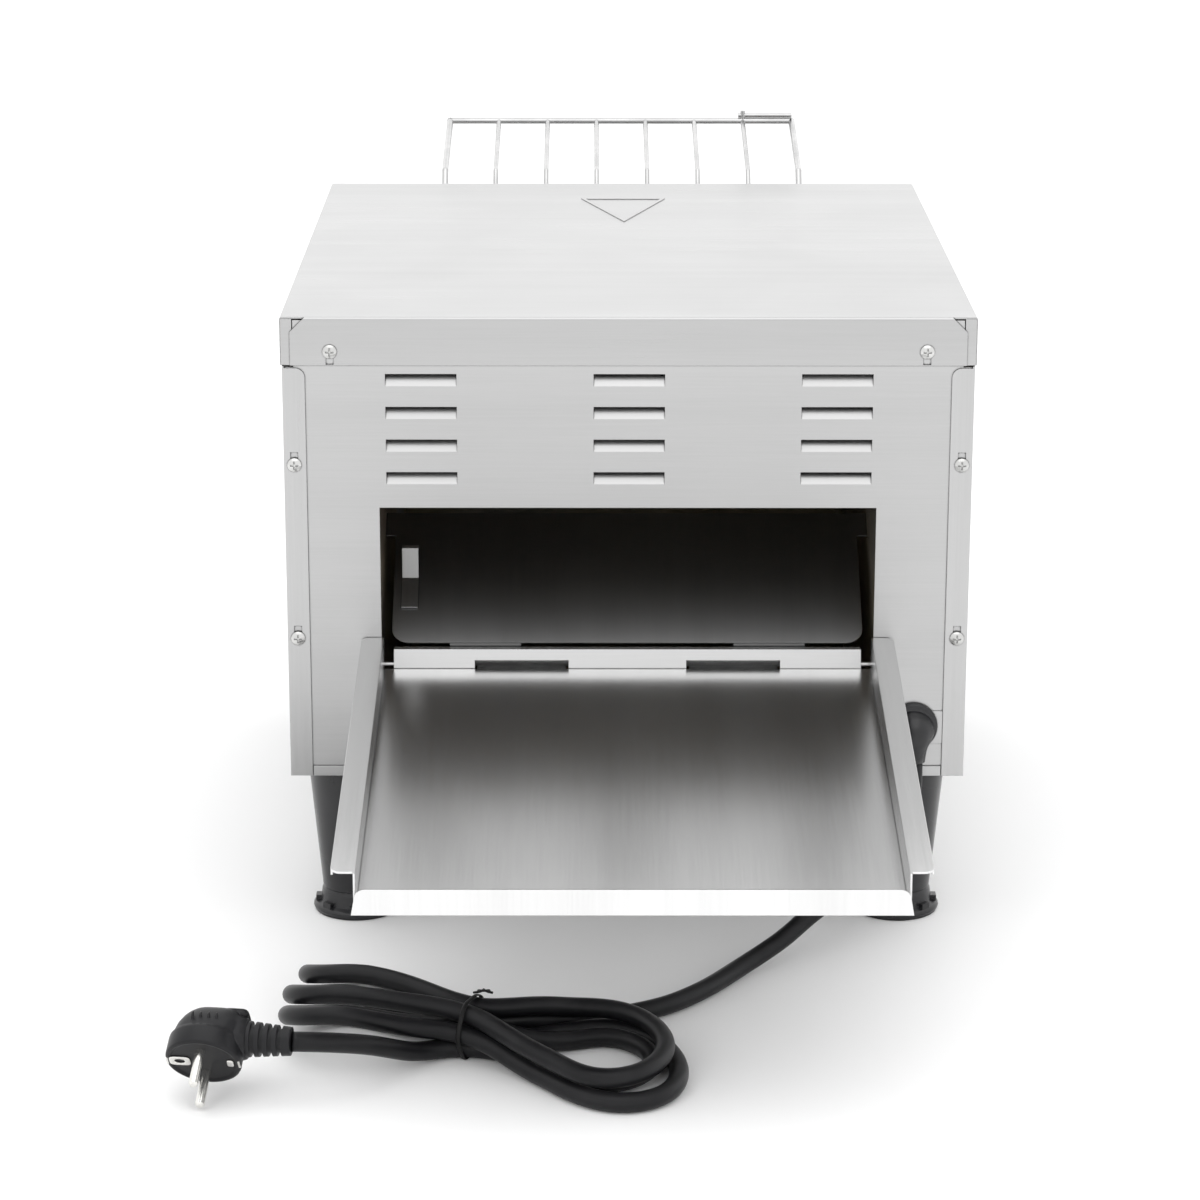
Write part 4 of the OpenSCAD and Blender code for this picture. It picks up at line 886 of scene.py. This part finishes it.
ACROSS, LENGTHWAYS, UPRIGHT = (0.02, 1, 1), (1, 0.02, 0.02), (1, 1, 0.02)
LOOKS = {
    # casing, cover, sides and sill are one brushed steel; their greys differ to paint in how the light falls
    # on each face
    "casing": (lambda: steel("brushed_casing", ACROSS, grey(0.465), 0.32),
               ["rear_panel", "front_panel", "base_pan", "entry_plate"]),
    "cover": (lambda: steel("brushed_cover", ACROSS, grey(0.44), 0.30), ["top_cover"]),
    "sides": (lambda: steel("brushed_sides", UPRIGHT, grey(0.485), 0.30),
              ["left_side_panel", "right_side_panel"]),
    "sill": (lambda: steel("bright_sill", ACROSS, grey(0.60), 0.34), ["discharge_sill"]),
    "chute": (lambda: steel("bright_chute", LENGTHWAYS, grey(0.24), 0.36, grain=0.02, relief=0.003,
                            streak=0.02), ["chute"]),
    "clip": (lambda: steel("dull_clip", LENGTHWAYS, grey(0.36), 0.34), ["chute_clip"]),
    # the tray's stronger bands are painted reflection
    "tray": (lambda: steel("bright_tray", LENGTHWAYS, grey(0.72), 0.25, grain=0.012, band=0.06, relief=0.003,
                           streak=0.012, wipe=0.0), ["discharge_tray", "crumb_tray"]),
    "chamber": (chamber_steel, ["left_chamber_wall", "right_chamber_wall", "heat_reflector", "heat_shield",
                                "belt_slides", "motor_bracket"]),
    "wire": (lambda: plated("plated_wire", grey(0.52), 0.20), ["loading_rack", "rack_support_rod"]),
    "shaft": (lambda: plated("turned_steel", (0.46, 0.46, 0.47), 0.30),
              ["drive_shaft", "idler_shaft", "driven_sprocket", "motor_sprocket", "speed_potentiometer"]),
    "bush": (lambda: plated("sintered_bronze", (0.55, 0.36, 0.18), 0.42), ["shaft_bearings"]),
    # the screw heads get a wider painted shade in their cross recesses
    "screw": (lambda: plated("plated_screw", (0.62, 0.62, 0.61), 0.24, recess=0.0011),
              ["cover_screws", "side_screws"]),
    "pins": (lambda: plated("nickel_pins", (0.82, 0.81, 0.78), 0.18), ["plug_pins"]),
    "dial": (lambda: steel("satin_dial", ACROSS, grey(0.72), 0.34), ["knob_dials"]),
    "gloss_black": (lambda: moulding("gloss_black_moulding", (0.006, 0.006, 0.007), 0.24, scale=500.0,
                                     depth=0.06, coat=0.1, shine=0.4),
                    ["legs", "foot_pad_1", "foot_pad_2", "foot_pad_3", "foot_pad_4"]),
    "matt_black": (lambda: moulding("matt_black_moulding", (0.010, 0.010, 0.011), 0.46, shine=0.3),
                   ["gland_nut", "power_switch_body", "speed_knob", "heat_knob", "fan_frame", "fan_rotor"]),
    "white": (lambda: moulding("ivory_moulding", (0.72, 0.70, 0.63), 0.42),
              ["terminal_block", "heat_selector_switch"]),
    "ceramic": (lambda: moulding("unglazed_ceramic", (0.78, 0.76, 0.70), 0.72, scale=900.0, depth=0.5),
                ["heater_end_caps"]),
    "red": (lambda: moulding("red_rocker", (0.42, 0.02, 0.015), 0.25, scale=600.0, depth=0.08, coat=0.3),
            ["power_switch_rocker"]),
    "board": (lambda: moulding("coated_board", (0.02, 0.16, 0.07), 0.3, scale=300.0, depth=0.3),
              ["speed_controller_board"]),
    "sleeve": (lambda: moulding("silicone_sleeve", (0.26, 0.03, 0.02), 0.4, scale=800.0, depth=0.3),
               ["wiring_loom"]),
    "motor": (lambda: moulding("painted_motor", (0.035, 0.04, 0.045), 0.36, scale=350.0, depth=0.4),
              ["gear_motor"]),
    "quartz": (quartz, ["upper_heaters", "lower_heaters"]),
    "lens": (lens, ["power_lamp"]),
}
MATERIALS = {}
for look, (make, names) in LOOKS.items():
    MATERIALS[look] = make()
    for name in names:
        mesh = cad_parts[name].data
        mesh.materials.clear()
        mesh.materials.append(MATERIALS[look])

MATERIALS["cord"] = cord_rubber()
MATERIALS["plug"] = moulding("plug_rubber", (0.006, 0.006, 0.007), 0.36, scale=900.0, depth=0.2, shine=0.26)
MATERIALS["belt"] = plated("drawn_belt_wire", (0.50, 0.47, 0.42), 0.32)
MATERIALS["coil"] = plated("resistance_wire", (0.34, 0.30, 0.27), 0.4)
MATERIALS["tie"] = moulding("tie_coating", (0.005, 0.005, 0.005), 0.4, scale=900.0, depth=0.3, shine=0.2)


def dress(piece, look, body, slot, *nodes):
    """Gives a new piece its material, body and the CAD nodes that it stands for; the slot argument is not
    used.
    """
    piece.data.materials.append(MATERIALS[look])
    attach(piece, body)
    if nodes:
        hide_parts(*nodes)
    return piece


# ---------- the pieces ----------
lead, lead_line, lead_length = make_lead()
dress(lead, "cord", "chassis", "cord_rubber", "power_cord", "cord_hank", "cord_tail")
tie = dress(make_tie(), "tie", "chassis", "tie_plastic", "cord_tie")
plug = dress(make_plug(), "plug", "chassis", "plug_rubber", "plug_body")
relief = dress(make_relief(), "plug", "chassis", "plug_rubber", "plug_strain_relief")
contacts = dress(make_contacts(), "pins", "chassis", "plated_pins")
dress(make_gland(), "gloss_black", "chassis", "black_gloss_plastic", "cord_gland")
dress(make_belt(), "belt", "chassis", "belt_wire", "conveyor_belt")
dress(make_chain(), "shaft", "chassis", "machined_steel", "drive_chain")
dress(make_heater_coils(), "coil", "chassis", "machined_steel")


# ---------- floor and light ----------
def make_floor():
    """A wide flat pale floor, a fifth of a millimetre below the feet, with a very slight mottle."""
    rows = 13
    side = np.linspace(-6, 6, rows)
    x, y = np.meshgrid(side, side, indexing="ij")
    verts = np.stack([x, y, np.full_like(x, -0.0002)], -1).reshape(-1, 3)
    i, j = np.meshgrid(np.arange(rows - 1), np.arange(rows - 1), indexing="ij")
    first, after = i * rows + j, (i + 1) * rows + j
    quads = np.stack([first, after, after + 1, first + 1], -1).reshape(-1, 4)
    floor = mesh_object("floor", verts, quads.tolist())
    material, tree, shader = new_material("pale_floor")
    place = tree.nodes.new("ShaderNodeTexCoord").outputs["Object"]
    mottle = colour_between(tree, noise(tree, place, 3.0), grey(0.86), grey(0.88))
    tree.links.new(mottle, shader.inputs["Base Color"])
    shader.inputs["Roughness"].default_value = 0.9
    shader.inputs["Specular IOR Level"].default_value = 0.1
    floor.data.materials.append(material)


def area_light(name, spot, aim, width, height, power):
    """A soft rectangular light at spot, facing aim."""
    data = bpy.data.lights.new(name, "AREA")
    data.shape = "RECTANGLE"
    data.size, data.size_y, data.energy = width, height, power
    light = bpy.data.objects.new(name, data)
    bpy.context.scene.collection.objects.link(light)
    way = Matrix.Translation(spot)
    back = (np.array(spot) - np.array(aim)) / np.linalg.norm(np.array(spot) - np.array(aim))
    side = np.cross([0, 0, 1.0], back)
    side = side / np.linalg.norm(side)
    up = np.cross(back, side)
    turn = Matrix(np.column_stack([side, up, back]).tolist()).to_4x4()
    light.matrix_world = way @ turn
    return light


def make_light():
    """White surroundings with a broad light overhead and weaker ones from both front corners and behind."""
    world = bpy.data.worlds.new("surroundings")
    world.use_nodes = True
    world.node_tree.nodes["Background"].inputs["Color"].default_value = (1, 1, 1, 1)
    world.node_tree.nodes["Background"].inputs["Strength"].default_value = 1.22
    bpy.context.scene.world = world
    area_light("overhead", (0.0, -0.6, 2.8), (0, -0.2, 0), 3.2, 3.2, 27)
    left = area_light("front_left", (-1.6, -2.2, 1.5), (0, 0, 0.15), 1.2, 1.6, 11)
    right = area_light("front_right", (1.7, -2.0, 1.3), (0, 0, 0.15), 1.0, 1.6, 9)
    # the front pair lights the floor without mirroring in the lid
    left.visible_glossy = right.visible_glossy = False
    area_light("behind", (0.0, 2.3, 1.1), (0, 0, 0.3), 2.6, 0.9, 2.6)
    bpy.context.scene.view_settings.view_transform = "Standard"


make_floor()
make_light()
